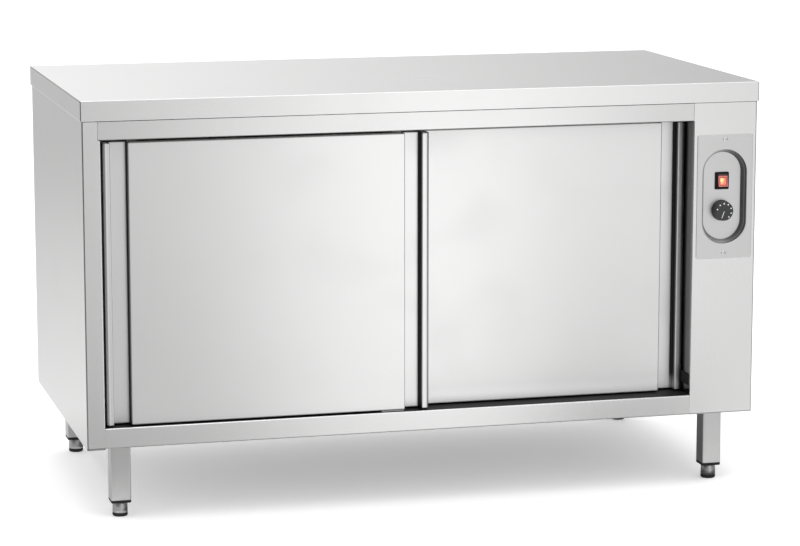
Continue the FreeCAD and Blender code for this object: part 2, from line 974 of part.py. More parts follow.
def make_temperature_knob():
    base = bowl_floor_front - knob_gap
    foot = vec(column_centre, base, knob_centre)
    knob = Part.makeCone(knob_radius_low, knob_radius_high, knob_height, foot, vec(0, -sheet, 0))
    knob = knob.makeFillet(knob_round, rim_edges(knob, knob_radius_high))
    spindle_start = base - knob_gap
    spindle = along_y(spindle_radius, column_centre, knob_centre, spindle_start, base + spindle_length)
    return join([knob, spindle])


def make_thermostat():
    half_side = thermostat_side * half_share
    case = box(column_centre - half_side, column_centre + half_side, bowl_floor_back,
               bowl_floor_back + thermostat_depth, knob_centre - half_side, knob_centre + half_side)
    case = round_edges(case, vec(0, sheet, 0).normalize(), bezel_round)
    bore_end = bowl_floor_front - knob_gap + spindle_length + spindle_end_gap
    return case.cut(
        along_y(spindle_radius + running_gap, column_centre, knob_centre, bowl_floor_back, bore_end))


def bulb_start():
    """Where the bulb's tube crosses the partition: behind the column's return flange, near the ceiling."""
    y = bowl_floor_back + thermostat_depth + capillary_back_run
    return (open_right - bulb_wall_gap - bulb_radius, y, open_top - rack_top_gap * half_share)


def make_thermostat_capillary():
    back = bowl_floor_back + thermostat_depth
    x, y, z = bulb_start()
    lead_end = y + bulb_lead
    points = [
        vec(column_centre, back, knob_centre),
        vec(column_centre, y, knob_centre),
        vec(column_centre, y, z),
        vec(x, y, z),
        vec(x, lead_end, z),
    ]
    path = Part.Wire(bent_path(points, same_radius(points, capillary_bend)))
    ring = Part.Wire([Part.makeCircle(capillary_radius, points[0], vec(0, sheet, 0))])
    tube = path.makePipeShell([ring], True, False)
    bulb = along_y(bulb_radius, x, z, lead_end, lead_end + bulb_length)
    return join([tube, bulb])


def make_fan_housing():
    half_box = fan_box_side * half_share
    outer = box(
        partition_right, fan_box_right, fan_y - half_box, fan_y + half_box, fan_z - half_box,
        fan_z + half_box)
    inner_half = half_box - sheet
    inner = box(partition_right, fan_box_right - sheet, fan_y - inner_half, fan_y + inner_half,
                fan_z - inner_half, fan_z + inner_half)
    rim_half = half_box + fan_box_flange
    rim = box(partition_right, partition_right + sheet, fan_y - rim_half, fan_y + rim_half,
              fan_z - rim_half, fan_z + rim_half)
    shell = join([outer, rim]).cut(inner)
    holes = [along_x(shaft_hole_radius, fan_y, fan_z, fan_box_right - sheet, fan_box_right)]
    for y, z in ring_leg_places():
        hole_radius = ring_tube_radius + ring_leg_clearance
        holes.append(along_x(hole_radius, y, z, fan_box_right - sheet, fan_box_right))
    return cut_all(shell, holes)


def ring_leg_places():
    """Where the two legs of the ring heater leave it, either side of its lowest point."""
    places = []
    for side in (-half_share, half_share):
        angle = math.radians(side * ring_gap_angle)
        places.append((fan_y + ring_radius * math.sin(angle), fan_z - ring_radius * math.cos(angle)))
    return places


def impeller_left():
    return partition_right + impeller_stand


def make_heater_element():
    x = impeller_left() + impeller_width * half_share
    places = ring_leg_places()
    centre = vec(x, fan_y, fan_z)
    start = vec(x, places[-1][0], places[-1][-1])
    circle = Part.Face(Part.Wire([Part.makeCircle(ring_tube_radius, start,
                       vec(0, math.cos(math.radians(ring_gap_angle * half_share)),
                           math.sin(math.radians(ring_gap_angle * half_share))))]))
    ring = circle.revolve(centre, vec(sheet, 0, 0), full_turn - ring_gap_angle)
    pieces = [ring]
    for y, z in places:
        elbow = Part.makeSphere(ring_tube_radius, vec(x, y, z))
        leg = along_x(ring_tube_radius, y, z, x, fan_box_right + ring_leg_end)
        pieces.extend([elbow, leg])
    return join(pieces)


def make_fan_impeller():
    left = impeller_left()
    right = left + impeller_width
    back = along_x(impeller_radius, fan_y, fan_z, right - impeller_plate, right)
    eye = impeller_radius - impeller_blade_length
    rim = along_x(impeller_radius, fan_y, fan_z, left, left + impeller_plate).cut(
        along_x(eye, fan_y, fan_z, left, left + impeller_plate))
    hub = along_x(hub_radius, fan_y, fan_z, right - impeller_width * half_share, right)
    shaft = along_x(
        shaft_radius, fan_y, fan_z, right - impeller_plate, fan_box_right + motor_foot + shaft_engage)
    pieces = [back, rim, hub, shaft]
    half_blade = impeller_blade_thickness * half_share
    for number in range(impeller_blades):
        inner = fan_z + eye + impeller_plate * half_share
        outer = fan_z + impeller_radius - impeller_plate * half_share
        blade = box(left, right, fan_y - half_blade, fan_y + half_blade, inner, outer)
        blade.rotate(vec(left, fan_y, fan_z), vec(sheet, 0, 0), full_turn * number / impeller_blades)
        pieces.append(blade)
    return join(pieces)


def make_fan_motor():
    start = fan_box_right
    foot = along_x(motor_foot_radius, fan_y, fan_z, start, start + motor_foot)
    can = along_x(motor_radius, fan_y, fan_z, start + motor_foot, start + motor_length)
    can = can.makeFillet(motor_round, [edge for edge in rim_edges(can, motor_radius)
                         if edge.BoundBox.XMin > start + motor_length * half_share])
    bore = along_x(
        shaft_radius + running_gap, fan_y, fan_z, start, start + motor_foot + shaft_engage + motor_foot)
    return join([foot, can]).cut(bore)


def make_terminal_block():
    y_low = fan_y + fan_box_side * half_share + fan_box_flange + terminal_gap
    z_low = base_high + terminal_rise
    right = partition_right + terminal_depth
    block = box(partition_right, right, y_low, y_low + terminal_length, z_low, z_low + terminal_height)
    holes = []
    for number in range(terminal_posts):
        y = y_low + terminal_length * (number + half_share) / terminal_posts
        holes.append(along_x(terminal_post_radius, y, z_low + terminal_height * half_share,
                             right - terminal_post_depth, right))
    return cut_all(block, holes)


def gland_place():
    return (partition_right + gland_side_gap, body_back - gland_setback)


def make_cable_gland():
    x, y = gland_place()
    corners = []
    for number in range(gland_hex_sides):
        angle = math.radians(full_turn * number / gland_hex_sides)
        corners.append(
            vec(x + gland_hex_radius * math.cos(angle), y + gland_hex_radius * math.sin(angle), 0))
    hexagon = Part.Face(Part.makePolygon(corners + corners[:1]))
    pieces = []
    for low in (base_low - gland_hex_height, base_high):
        nut = hexagon.extrude(vec(0, 0, gland_hex_height))
        nut.translate(vec(0, 0, low))
        pieces.append(nut)
    dome_high = base_low - gland_hex_height
    dome = along_z(gland_dome_radius, x, y, dome_high - gland_dome_height, dome_high)
    rims = rim_edges(dome, gland_dome_radius)
    lower_rim = [edge for edge in rims if edge.BoundBox.ZMax < dome_high - gland_hex_height]
    pieces.append(dome.makeFillet(gland_dome_round, lower_rim))
    pieces.append(along_z(gland_thread_radius, x, y, base_low, base_high))
    bore_low = dome_high - gland_dome_height
    return join(pieces).cut(along_z(gland_bore_radius, x, y, bore_low, base_high + gland_hex_height))


def make_leg(x, y):
    half_leg = leg_side * half_share
    high = base_low - leg_plate_thickness
    up = vec(0, 0, sheet).normalize()
    tube = round_edges(
        box(x - half_leg, x + half_leg, y - half_leg, y + half_leg, leg_low, high), up, leg_round)
    half_hollow = half_leg - leg_wall
    hollow = box(x - half_hollow, x + half_hollow, y - half_hollow, y + half_hollow, leg_low, high)
    half_plate = leg_plate_side * half_share
    plate = box(x - half_plate, x + half_plate, y - half_plate, y + half_plate, high, base_low)
    return join([tube.cut(hollow), plate])


def make_leg_inserts():
    inserts = []
    for x, y in leg_places.values():
        half_leg = leg_side * half_share
        cap = box(x - half_leg, x + half_leg, y - half_leg, y + half_leg, foot_height, leg_low)
        cap = round_edges(cap, vec(0, 0, sheet).normalize(), leg_round)
        low_edges = [edge for edge in cap.Edges if edge.BoundBox.ZMax < foot_height + cut_clearance]
        cap = cap.makeChamfer(insert_chamfer, low_edges)
        half_plug = half_leg - leg_wall
        plug = box(
            x - half_plug, x + half_plug, y - half_plug, y + half_plug, leg_low, leg_low + insert_plug)
        bore = along_z(stem_radius + running_gap, x, y, foot_height, leg_low + insert_plug)
        inserts.append(join([cap, plug]).cut(bore))
    return Part.makeCompound(inserts)


def make_foot(x, y):
    pad = along_z(foot_radius_low, x, y, 0, foot_pad_height)
    rims = rim_edges(pad, foot_radius_low)
    low_rim = [edge for edge in rims if edge.BoundBox.ZMax < foot_pad_height * half_share]
    pad = pad.makeChamfer(foot_pad_chamfer, low_rim)
    shell_height = foot_height - foot_pad_height
    shell = Part.makeCone(foot_radius_low, foot_radius_high, shell_height, vec(x, y, foot_pad_height))
    stem = along_z(stem_radius, x, y, foot_height - foot_pad_height, foot_height + stem_length)
    return join([pad, shell, stem])


def make_shelf():
    left = open_left + shelf_side_gap
    right = open_right - shelf_side_gap
    points = [vec(left, shelf_front, shelf_low), vec(left, shelf_front, shelf_high),
              vec(right, shelf_front, shelf_high), vec(right, shelf_front, shelf_low)]
    radii = same_radius(points, shelf_bend_radius)
    normal = vec(0, sheet, 0).normalize()
    deck = folded_sheet(points, sheet, radii, normal, vec(0, shelf_back - shelf_front, 0))
    inside = shelf_high - shelf_bend_radius
    front = box(left + sheet, right - sheet, shelf_front, shelf_front + sheet, shelf_low, inside)
    back = box(left + sheet, right - sheet, shelf_back - sheet, shelf_back, shelf_low, inside)
    top_left = left + shelf_bend_radius
    top_right = right - shelf_bend_radius
    front_top = box(top_left, top_right, shelf_front, shelf_front + sheet, inside, shelf_high)
    back_top = box(top_left, top_right, shelf_back - sheet, shelf_back, inside, shelf_high)
    return join([deck, front, back, front_top, back_top])


def rack_planes():
    return (shelf_front + rack_inset, shelf_back - rack_inset)


def clip_height():
    """The shelf rests on clips; the slots are laid out from the clips' level up and down."""
    return shelf_low - clip_thickness


def make_shelf_rack(wall, inward):
    """Two slotted uprights joined by two straps, flat against one side wall."""
    low = open_bottom + rack_bottom_gap
    high = open_top - rack_top_gap
    face = wall + inward * rack_depth
    pieces = []
    near, far = sorted((wall, face))
    skin_low, skin_high = sorted((face, face - inward * worktop_sheet))
    for plane in rack_planes():
        front = plane - rack_width * half_share
        back = plane + rack_width * half_share
        pieces.append(box(near, far, front, front + worktop_sheet, low, high))
        pieces.append(box(near, far, back - worktop_sheet, back, low, high))
        pieces.append(box(skin_low, skin_high, front, back, low, high))
    strap_low, strap_high = sorted((wall, wall + inward * worktop_sheet))
    planes = rack_planes()
    for z in (low, high - rack_strap_height):
        pieces.append(box(strap_low, strap_high, planes[0], planes[-1], z, z + rack_strap_height))
    rack = join(pieces)
    slots = []
    for plane in rack_planes():
        for level in rack_slot_levels():
            slots.append(box(skin_low, skin_high, plane - rack_slot_width * half_share,
                             plane + rack_slot_width * half_share, level, level + rack_slot_height))
    return cut_all(rack, slots)


def rack_slot_levels():
    """Slot bottoms: one pair lies at the clips, and the others a pitch apart above and below."""
    at_clip = clip_height() - clip_slot_gap
    low = open_bottom + rack_bottom_gap + rack_first_slot
    high = open_top - rack_top_gap - rack_first_slot
    levels = []
    for number in range(-rack_slots, rack_slots):
        level = at_clip + number * rack_slot_pitch
        if low < level < high:
            levels.append(level)
    return levels


def make_shelf_clips():
    clips = []
    low = clip_height()
    for wall, inward in ((open_left, rightward), (open_right, -rightward)):
        face = wall + inward * rack_depth
        for plane in rack_planes():
            tail = face - inward * clip_tail
            tip = face + inward * clip_reach
            x_low, x_high = sorted((tail, tip))
            front = plane - clip_width * half_share
            back = plane + clip_width * half_share
            arm = box(x_low, x_high, front, back, low, low + clip_thickness)
            inner = face - inward * worktop_sheet
            hook_low, hook_high = sorted((inner, tail))
            hook = box(hook_low, hook_high, front, back, low - clip_lip, low)
            clips.append(join([arm, hook]))
    return Part.makeCompound(clips)


def save(shape, name):
    shape.exportStep(os.path.join("parts", name + ".step"))


save(make_worktop(), "worktop")
save(make_worktop_board(), "worktop_board")
save(make_worktop_stiffeners(), "worktop_stiffeners")
save(drill_back_flange(make_left_side_panel()), "left_side_panel")
save(drill_back_flange(make_right_side_panel()), "right_side_panel")
save(make_top_front_rail(), "top_front_rail")
save(make_bottom_front_rail(), "bottom_front_rail")
save(make_back_panel(), "back_panel")
save(make_panel_screws(), "panel_screws")
save(make_base_panel(), "base_panel")
save(make_base_channels(), "base_channels")
save(make_top_cover(), "top_cover")
save(make_inner_left_wall(), "inner_left_wall")
save(make_partition_wall(), "partition_wall")
save(make_inner_back_wall(), "inner_back_wall")
save(make_inner_floor(), "inner_floor")
save(make_inner_ceiling(), "inner_ceiling")
save(make_insulation(), "insulation_slabs")
save(make_door_track(), "door_track")
save(make_bottom_door_guide(), "bottom_door_guide")
save(make_door_buffers(), "door_buffers")
door_places = (("left", left_door_left, door_front), ("right", right_door_left, rear_door_front))
for side, door_left, front in door_places:
    save(make_door_skin(door_left, front), side + "_door_skin")
    save(make_door_back(door_left, front), side + "_door_back")
    save(make_door_core(door_left, front), side + "_door_core")
    save(make_door_hanger_bar(door_left, front), side + "_door_hanger_bar")
    save(make_door_bottom_channel(door_left, front), side + "_door_bottom_channel")
    for end, place in zip(("left", "right"), hanger_places(door_left)):
        save(make_roller(place, front), side + "_door_" + end + "_roller")
save(make_control_plate(), "control_plate")
save(make_switch_housing(), "switch_housing")
save(make_switch_rocker(), "switch_rocker")
save(make_temperature_knob(), "temperature_knob")
save(make_thermostat(), "thermostat")
save(make_thermostat_capillary(), "thermostat_capillary")
save(make_fan_housing(), "fan_housing")
save(make_heater_element(), "heater_element")
save(make_fan_impeller(), "fan_impeller")
save(make_fan_motor(), "fan_motor")
save(make_terminal_block(), "terminal_block")
save(make_cable_gland(), "cable_gland")
save(make_leg_inserts(), "leg_inserts")
for corner, (x, y) in leg_places.items():
    save(make_leg(x, y), "leg_" + corner)
    save(make_foot(x, y), "foot_" + corner)
save(make_shelf(), "shelf")
save(make_shelf_rack(open_left, rightward), "shelf_rack_left")
save(make_shelf_rack(open_right, -rightward), "shelf_rack_right")
save(make_shelf_clips(), "shelf_clips")
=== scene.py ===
import json
import math

import bmesh
import bpy
from mathutils import Matrix, Vector


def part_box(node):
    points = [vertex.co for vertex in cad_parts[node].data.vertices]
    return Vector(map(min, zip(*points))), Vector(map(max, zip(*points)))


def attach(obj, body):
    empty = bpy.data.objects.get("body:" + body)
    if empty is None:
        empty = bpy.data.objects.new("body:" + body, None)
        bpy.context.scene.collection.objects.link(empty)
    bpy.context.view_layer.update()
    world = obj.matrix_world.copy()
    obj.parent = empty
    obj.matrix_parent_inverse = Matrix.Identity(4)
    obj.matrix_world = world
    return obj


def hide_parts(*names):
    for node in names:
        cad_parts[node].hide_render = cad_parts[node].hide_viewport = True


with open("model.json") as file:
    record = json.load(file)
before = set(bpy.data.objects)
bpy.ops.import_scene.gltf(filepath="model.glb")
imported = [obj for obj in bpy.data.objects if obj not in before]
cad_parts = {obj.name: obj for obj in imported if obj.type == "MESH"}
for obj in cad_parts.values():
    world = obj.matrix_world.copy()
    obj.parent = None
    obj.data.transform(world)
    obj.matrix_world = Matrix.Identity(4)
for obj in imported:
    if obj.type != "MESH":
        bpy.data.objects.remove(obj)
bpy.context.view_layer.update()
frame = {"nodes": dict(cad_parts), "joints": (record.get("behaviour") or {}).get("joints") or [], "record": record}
slotOf = {row["node"]: row["material_slot"] for row in frame["record"]["subparts"]}
jointOf = {row["name"]: row for row in frame["joints"]}
print("frame loaded:", len(frame["nodes"]), "nodes")


# shader maths

class Flow:  # one value on its way through a material; sums and products add Math nodes
    def __init__(self, finish, socket):
        self.finish = finish
        self.socket = socket

    def maths(self, operation, first, second=None):
        return self.finish.maths(operation, first, second)

    def __add__(self, other):
        return self.maths("ADD", self, other)

    def __radd__(self, other):
        return self.maths("ADD", other, self)

    def __sub__(self, other):
        return self.maths("SUBTRACT", self, other)

    def __rsub__(self, other):
        return self.maths("SUBTRACT", other, self)

    def __mul__(self, other):
        return self.maths("MULTIPLY", self, other)

    def __rmul__(self, other):
        return self.maths("MULTIPLY", other, self)

    def __truediv__(self, other):
        return self.maths("DIVIDE", self, other)

    def __abs__(self):
        return self.maths("ABSOLUTE", self)

    def above(self, limit):
        return self.maths("GREATER_THAN", self, limit)

    def below(self, limit):
        return self.maths("LESS_THAN", self, limit)

    def within(self, low, high):
        return self.above(low) * self.below(high)


class Finish:  # one material and its nodes
    def __init__(self, name):
        self.material = bpy.data.materials.new(name)
        self.material.use_nodes = True
        self.tree = self.material.node_tree
        self.tree.nodes.clear()
        self.place = self.node("TexCoord", output="Object")
        self.x, self.y, self.z = self.split(self.place)

    def node(self, kind, settings=None, values=(), output=0):
        made = self.tree.nodes.new("ShaderNode" + kind)
        for key, value in (settings or {}).items():
            if key != "stops":
                setattr(made, key, value)
                continue
            stops = made.color_ramp.elements
            while len(stops) < len(value):
                stops.new(0.5)
            for stop, (position, bright) in zip(stops, value):
                stop.position = position
                stop.color = grey(bright)
        for socket, value in values.items() if isinstance(values, dict) else enumerate(values):
            if isinstance(value, Flow):
                self.tree.links.new(value.socket, made.inputs[socket])
            elif value is not None:
                made.inputs[socket].default_value = value
        return Flow(self, made.outputs[output]) if made.outputs else None

    def maths(self, operation, first, second=None):
        return self.node("Math", {"operation": operation}, [first, second])

    def larger(self, first, second):
        return self.maths("MAXIMUM", first, second)

    def split(self, vector):
        return [self.node("SeparateXYZ", {}, {"Vector": vector}, output=axis) for axis in "XYZ"]

    def noise(self, scale, detail=2.0, shift=0.0, rough=0.6):  # scale: one number or three, in waves a metre
        stretch = (scale, scale, scale) if isinstance(scale, (int, float)) else scale
        settled = {"Vector": self.place, "Scale": stretch, "Location": (shift, shift, shift)}
        moved = self.node("Mapping", {}, settled)
        values = {"Vector": moved, "Scale": 1.0, "Detail": detail, "Roughness": rough}
        return self.node("TexNoise", {}, values, "Fac")

    def ramp(self, value, stops):
        return self.node("ValToRGB", {"stops": stops}, {"Fac": value}, "Color")

    def band(self, value, low, high):  # 0 up to low, 1 from high on, and smooth between them
        return self.node("MapRange", {"interpolation_type": "SMOOTHSTEP"},
                         {"Value": value, "From Min": low, "From Max": high})

    def blend(self, share, first, second):  # colours
        return self.node("Mix", {"data_type": "RGBA"}, {0: share, 6: first, 7: second}, 2)

    def red(self, colour):
        return self.node("SeparateColor", {}, {"Color": colour}, "Red")

    def facing(self, axis, least=0.7):  # 1 where the surface looks along that axis, either way
        normal = self.node("TexCoord", output="Normal")
        return abs(self.split(normal)["xyz".index(axis)]).above(least)

    def bump(self, height, strength, depth, softEdge=0.0):
        values = {"Height": height, "Strength": strength, "Distance": depth}
        if softEdge:
            values["Normal"] = self.node("Bevel", {"samples": 4}, {"Radius": softEdge})
        return self.node("Bump", {}, values)

    def surface(self, **values):
        named = {key.replace("_", " "): value for key, value in values.items()}
        shader = self.node("BsdfPrincipled", {}, named)
        self.node("OutputMaterial", {}, {"Surface": shader})
        return self.material


def grey(tone, warmth=0.0):
    return (tone * (1 + warmth), tone, tone * (1 - warmth), 1.0)


# steel: the looks of each kind, then what all kinds share

steelLooks = {
    "worktop_steel": {"along": "x", "ends": "z", "tone": 0.715, "rough": 0.245, "grain": 0.10,
                      "bump": 0.06, "smudge": 0.02},
    "panel_steel": {"along": "z", "ends": "x", "tone": 0.71, "rough": 0.25, "grain": 0.10,
                    "bump": 0.06, "smudge": 0.015},
    "liner_steel": {"along": "y", "ends": "z", "tone": 0.70, "rough": 0.52, "grain": 0.12,
                    "bump": 0.08, "smudge": 0.05},
    "door_steel": {"along": "z", "ends": "x", "tone": 0.72, "rough": 0.32, "grain": 0.10,
                   "bump": 0.06, "smudge": 0.05, "stretch": 0.8, "turn": 0.25},
    "control_steel": {"along": "z", "ends": "x", "tone": 0.62, "rough": 0.36, "grain": 0.08,
                      "bump": 0.05, "smudge": 0.04},
    "leg_steel": {"along": "z", "ends": "x", "tone": 0.54, "rough": 0.36, "grain": 0.14,
                  "bump": 0.08, "smudge": 0.04},
    "foot_steel": {"along": "z", "ends": "x", "tone": 0.44, "rough": 0.34, "grain": 0.30,
                   "bump": 0.14, "smudge": 0.06},
    "screw_steel": {"along": "x", "ends": "z", "tone": 0.72, "rough": 0.22, "grain": 0.10,
                    "bump": 0.05, "smudge": 0.02},
    "track_aluminium": {"along": "x", "ends": "z", "tone": 0.66, "rough": 0.42, "grain": 0.16,
                        "bump": 0.10, "smudge": 0.04},
}
brushed = {
    "fine": 1500.0, "coarse": 260.0, "fineShare": 0.6, "drawnOut": 0.012,  # grain, in waves a metre
    "shift": 3.7, "endShift": 11.0, "wipeShift": 5.0,  # each kind and layer gets its own part of the noise
    "dark": 0.93, "darkWarmth": 0.004, "light": 1.05, "lightWarmth": 0.001, "contrast": 4.0,
    "cloud": 3.1, "cloudTone": 0.5, "cloudRough": 0.05,
    "wipe": (6.0, 6.0, 9.0), "wipeFrom": 0.46, "wipeFull": 0.80, "groove": 0.0004, "softEdge": 0.0013,
}


def grain(finish, axis, shift):
    def drawn(pitch, detail):
        stretch = [pitch, pitch, pitch]
        stretch["xyz".index(axis)] = pitch * brushed["drawnOut"]
        return finish.noise(tuple(stretch), detail, shift)
    share = brushed["fineShare"]
    return share * drawn(brushed["fine"], 2.0) + (1 - share) * drawn(brushed["coarse"], 3.0)


# seams, and painted shade and highlights, on the front rails and the panels

seamLook = {"half": 0.0005, "dark": 0.16, "front": 0.0070, "tone": 0.10}


def railSeams(finish, tone, rough):  # the thin joints at both ends of the front rails
    for rail in ("top_front_rail", "bottom_front_rail"):
        low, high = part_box(rail)
        for at in (low.x, high.x):
            line = 1 - finish.band(abs(finish.x - at), seamLook["half"] * 0.5, seamLook["half"] * 1.5)
            line = line * finish.z.within(low.z, high.z) * finish.y.below(low.y + seamLook["front"])
            tone = finish.blend(line * seamLook["dark"], tone, grey(seamLook["tone"]))
    return tone, rough


# painted shade at the front rails' ends: where it starts and how dark it gets
railShadeLook = {"darkened": 0.13, "tone": 0.10, "rightFrom": 0.36, "rightFull": 0.02, "leftFull": 0.02,
            "leftTo": 0.30, "leftShares": {"top_front_rail": 0.75, "bottom_front_rail": 0.0},
            "lap": 0.001, "front": 0.0070}


def paintedRailEndShade(finish, tone, rough):  # painted shade: darker towards the column, and the top rail also towards its left end
    look = railShadeLook
    for rail, leftShare in look["leftShares"].items():
        low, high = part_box(rail)
        darkened = finish.band(finish.x, high.x - look["rightFrom"], high.x - look["rightFull"])
        darkened = darkened * finish.x.below(high.x)
        if leftShare:
            left = 1 - finish.band(finish.x, low.x + look["leftFull"], low.x + look["leftTo"])
            darkened = darkened + leftShare * left * finish.x.above(low.x)
        darkened = darkened * finish.z.within(low.z - look["lap"], high.z + look["lap"])
        darkened = darkened * finish.y.below(low.y + look["front"])
        tone = finish.blend(darkened * look["darkened"], tone, grey(look["tone"]))
    return tone, rough


# painted shade on the sill and on the column's return, lighter near the front edge
returnShadeLook = {"skin": 0.0004, "bend": 0.0022, "sillEnd": 0.0100, "sill": 0.97, "sillRough": 0.40,
              "depth": 0.0570, "litTo": 0.0020, "deepFrom": 0.0140, "lit": 0.60, "deep": 0.86, "tone": 0.02}


def paintedReturnShade(finish, tone, rough):  # painted shade: the sill and the column's return are darkened behind the front edge
    look = returnShadeLook
    low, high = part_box("bottom_front_rail")
    behind = finish.y.above(low.y + look["bend"])
    sill = finish.z.within(high.z - look["skin"], high.z + look["skin"]) * behind
    sill = sill * finish.facing("z") * finish.y.below(high.y - look["sillEnd"])
    side = finish.x.within(high.x - look["skin"], high.x + look["skin"]) * behind
    side = side * finish.y.below(low.y + look["depth"])
    deep = finish.band(finish.y, low.y + look["litTo"], low.y + look["deepFrom"])
    side = side * (look["lit"] + (look["deep"] - look["lit"]) * deep)
    tone = finish.blend(finish.larger(sill * look["sill"], side), tone, grey(look["tone"]))
    return tone, rough + look["sillRough"] * sill


# painted shade along the panels' bends
bendShadeLook = {"dark": 0.55, "gapLine": 0.0015, "gapLap": 0.001, "stileLap": 0.003, "gapTone": 0.04,
            "corner": 0.0026, "front": 0.0024, "foldLine": 0.0022, "tone": 0.10}


def paintedBendShade(finish, tone, rough):  # painted shade along the bend over the doors, the bent front corners and the lower fold
    look = bendShadeLook
    low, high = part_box("top_front_rail")
    line = finish.z.within(low.z - look["gapLap"], low.z + look["gapLine"])
    line = line * finish.x.within(low.x + look["stileLap"], high.x)
    tone = finish.blend(line * look["dark"], tone, grey(look["gapTone"]))
    low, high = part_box("left_side_panel")
    front = finish.y.below(low.y + look["front"])
    corner = abs(finish.x).above(abs(low.x) - look["corner"]) * front
    fold = finish.z.below(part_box("bottom_front_rail")[0].z + look["foldLine"]) * front
    tone = finish.blend(corner * look["dark"], tone, grey(look["tone"]))
    return finish.blend(fold * look["dark"], tone, grey(look["tone"])), rough


# painted shade and a painted highlight where the worktop rests on the panels
restLightLook = {"drop": 0.0016, "front": 0.0030, "dark": 0.72, "tone": 0.06, "side": 0.001, "bright": 0.60}


def paintedWorktopShadeAndHighlight(finish, tone, rough):  # under the worktop: painted shade along the front, and a painted highlight along the left side
    low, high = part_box("left_side_panel")
    rest = finish.z.above(high.z - restLightLook["drop"])
    front = rest * finish.y.below(low.y + restLightLook["front"])
    side = rest * finish.x.below(low.x + restLightLook["side"])
    tone = finish.blend(front * restLightLook["dark"], tone, grey(restLightLook["tone"]))
    return finish.blend(side * restLightLook["bright"], tone, grey(1.0)), rough


# painted shade on the control plate

# painted shade on the bowl's walls
bowlShadeLook = {"start": 0.0009, "end": 0.0178, "dark": 0.72, "tone": 0.05, "leftShare": 0.45, "fadeFrom": -0.01,
            "fadeFull": 0.03, "rough": 0.30}


def paintedBowlShade(finish, tone, rough):  # painted shade on the steep walls of the pressed bowl, darker at the right, and the walls rougher
    look = bowlShadeLook
    low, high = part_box("control_plate")
    middle = (low.x + high.x) / 2
    steep = finish.y.within(low.y + look["start"], low.y + look["end"])
    right = finish.band(finish.x, middle + look["fadeFrom"], middle + look["fadeFull"])
    steep = steep * (look["leftShare"] + (1 - look["leftShare"]) * right)
    tone = finish.blend(steep * look["dark"], tone, grey(look["tone"]))
    return tone, rough + look["rough"] * steep


# painted shade and highlights on the doors

# the finger channels' sizes, and the painted shade in their corners
channelLook = {"lip": 0.0147, "width": 0.0355, "depth": 0.0215, "dark": 0.93, "tone": 0.02, "wall": 0.0008,
               "faceEnd": 0.0008, "deepFrom": 0.0030, "leftReaches": (0.0020, 0.0038),
               "rightReaches": (0.0046, 0.0046)}


def paintedChannelShade(finish, tone, rough):  # painted shade in the finger channels' corners, at the walls that look to the left
    look = channelLook
    for door, reaches in (("left_door_skin", look["leftReaches"]), ("right_door_skin", look["rightReaches"])):
        low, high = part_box(door)
        walls = (low.x + look["lip"] + look["width"], high.x - look["lip"])
        for at, reach in zip(walls, reaches):
            corner = finish.x.within(at - reach, at + look["wall"])
            deep = finish.band(finish.y, low.y + look["faceEnd"], low.y + look["deepFrom"])
            deep = deep * finish.y.below(low.y + look["depth"])
            tone = finish.blend(corner * deep * look["dark"], tone, grey(look["tone"]))
    return tone, rough


# painted highlight low on the right door's face
baseHighlightLook = {"bright": 0.60, "full": 0.004, "end": 0.036, "front": 0.001}


def paintedBaseHighlight(finish, tone, rough):  # painted highlight: the right door's face lighter just above the sill
    low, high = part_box("right_door_skin")
    base = 1 - finish.band(finish.z, low.z + baseHighlightLook["full"], low.z + baseHighlightLook["end"])
    base = base * finish.y.above(low.y - baseHighlightLook["front"])
    return finish.blend(base * baseHighlightLook["bright"], tone, grey(1.0)), rough


# painted shade and a painted highlight on the left door's lips
lipLightLook = {"ends": 0.0015, "endDark": 0.55, "endTone": 0.04, "rightFrom": 0.0085, "rightFull": 0.0010,
           "rightDark": 0.55, "leftFull": 0.0044, "leftTo": 0.0060, "leftDark": 0.35, "depth": 0.0070,
           "tone": 0.20, "gleamFrom": 0.0060, "gleamTo": 0.0084, "gleamDepth": 0.0010, "gleam": 0.40}


def paintedLipShadeAndHighlight(finish, tone, rough):  # painted shade on the left door's ends and on its lips' grey outer sides, and a painted highlight on the left lip
    look = lipLightLook
    low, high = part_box("left_door_skin")
    ends = finish.larger(finish.z.above(high.z - look["ends"]), finish.z.below(low.z + look["ends"]))
    tone = finish.blend(ends * look["endDark"], tone, grey(look["endTone"]))
    right = finish.band(finish.x, high.x - look["rightFrom"], high.x - look["rightFull"]) * look["rightDark"]
    left = (1 - finish.band(finish.x, low.x + look["leftFull"], low.x + look["leftTo"])) * look["leftDark"]
    tone = finish.blend((right + left) * finish.y.below(low.y + look["depth"]), tone, grey(look["tone"]))
    gleam = finish.x.within(low.x + look["gleamFrom"], low.x + look["gleamTo"])
    gleam = gleam * finish.y.below(low.y + look["gleamDepth"])
    return finish.blend(gleam * look["gleam"], tone, grey(1.0)), rough


# painted shade along the finger channels' edges
rimShadeLook = {"left": 0.0012, "right": 0.0006, "front": 0.0010, "depth": 0.0020, "dark": 0.45, "tone": 0.10}


def paintedRimShade(finish, tone, rough):  # painted shade along the bends where the door faces turn into their right finger channels
    for door in ("left_door_skin", "right_door_skin"):
        low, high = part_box(door)
        at = high.x - channelLook["lip"] - channelLook["width"]
        line = finish.x.within(at - rimShadeLook["left"], at + rimShadeLook["right"])
        line = line * finish.y.within(low.y - rimShadeLook["front"], low.y + rimShadeLook["depth"])
        tone = finish.blend(line * rimShadeLook["dark"], tone, grey(rimShadeLook["tone"]))
    return tone, rough


# seams, painted shade and a painted highlight on the worktop, and wear on the legs

# the worktop's corner seam lines, and the painted shade and painted highlight at its ends
edgeLook = {"line": 0.0003, "lineEnd": 0.0011, "reach": 0.0100, "drop": 0.0015, "dark": 0.9, "tone": 0.05,
            "side": 0.0015, "crease": 0.0028, "creaseDark": 0.5, "creaseTone": 0.10, "rim": 0.0016,
            "bright": 0.60}


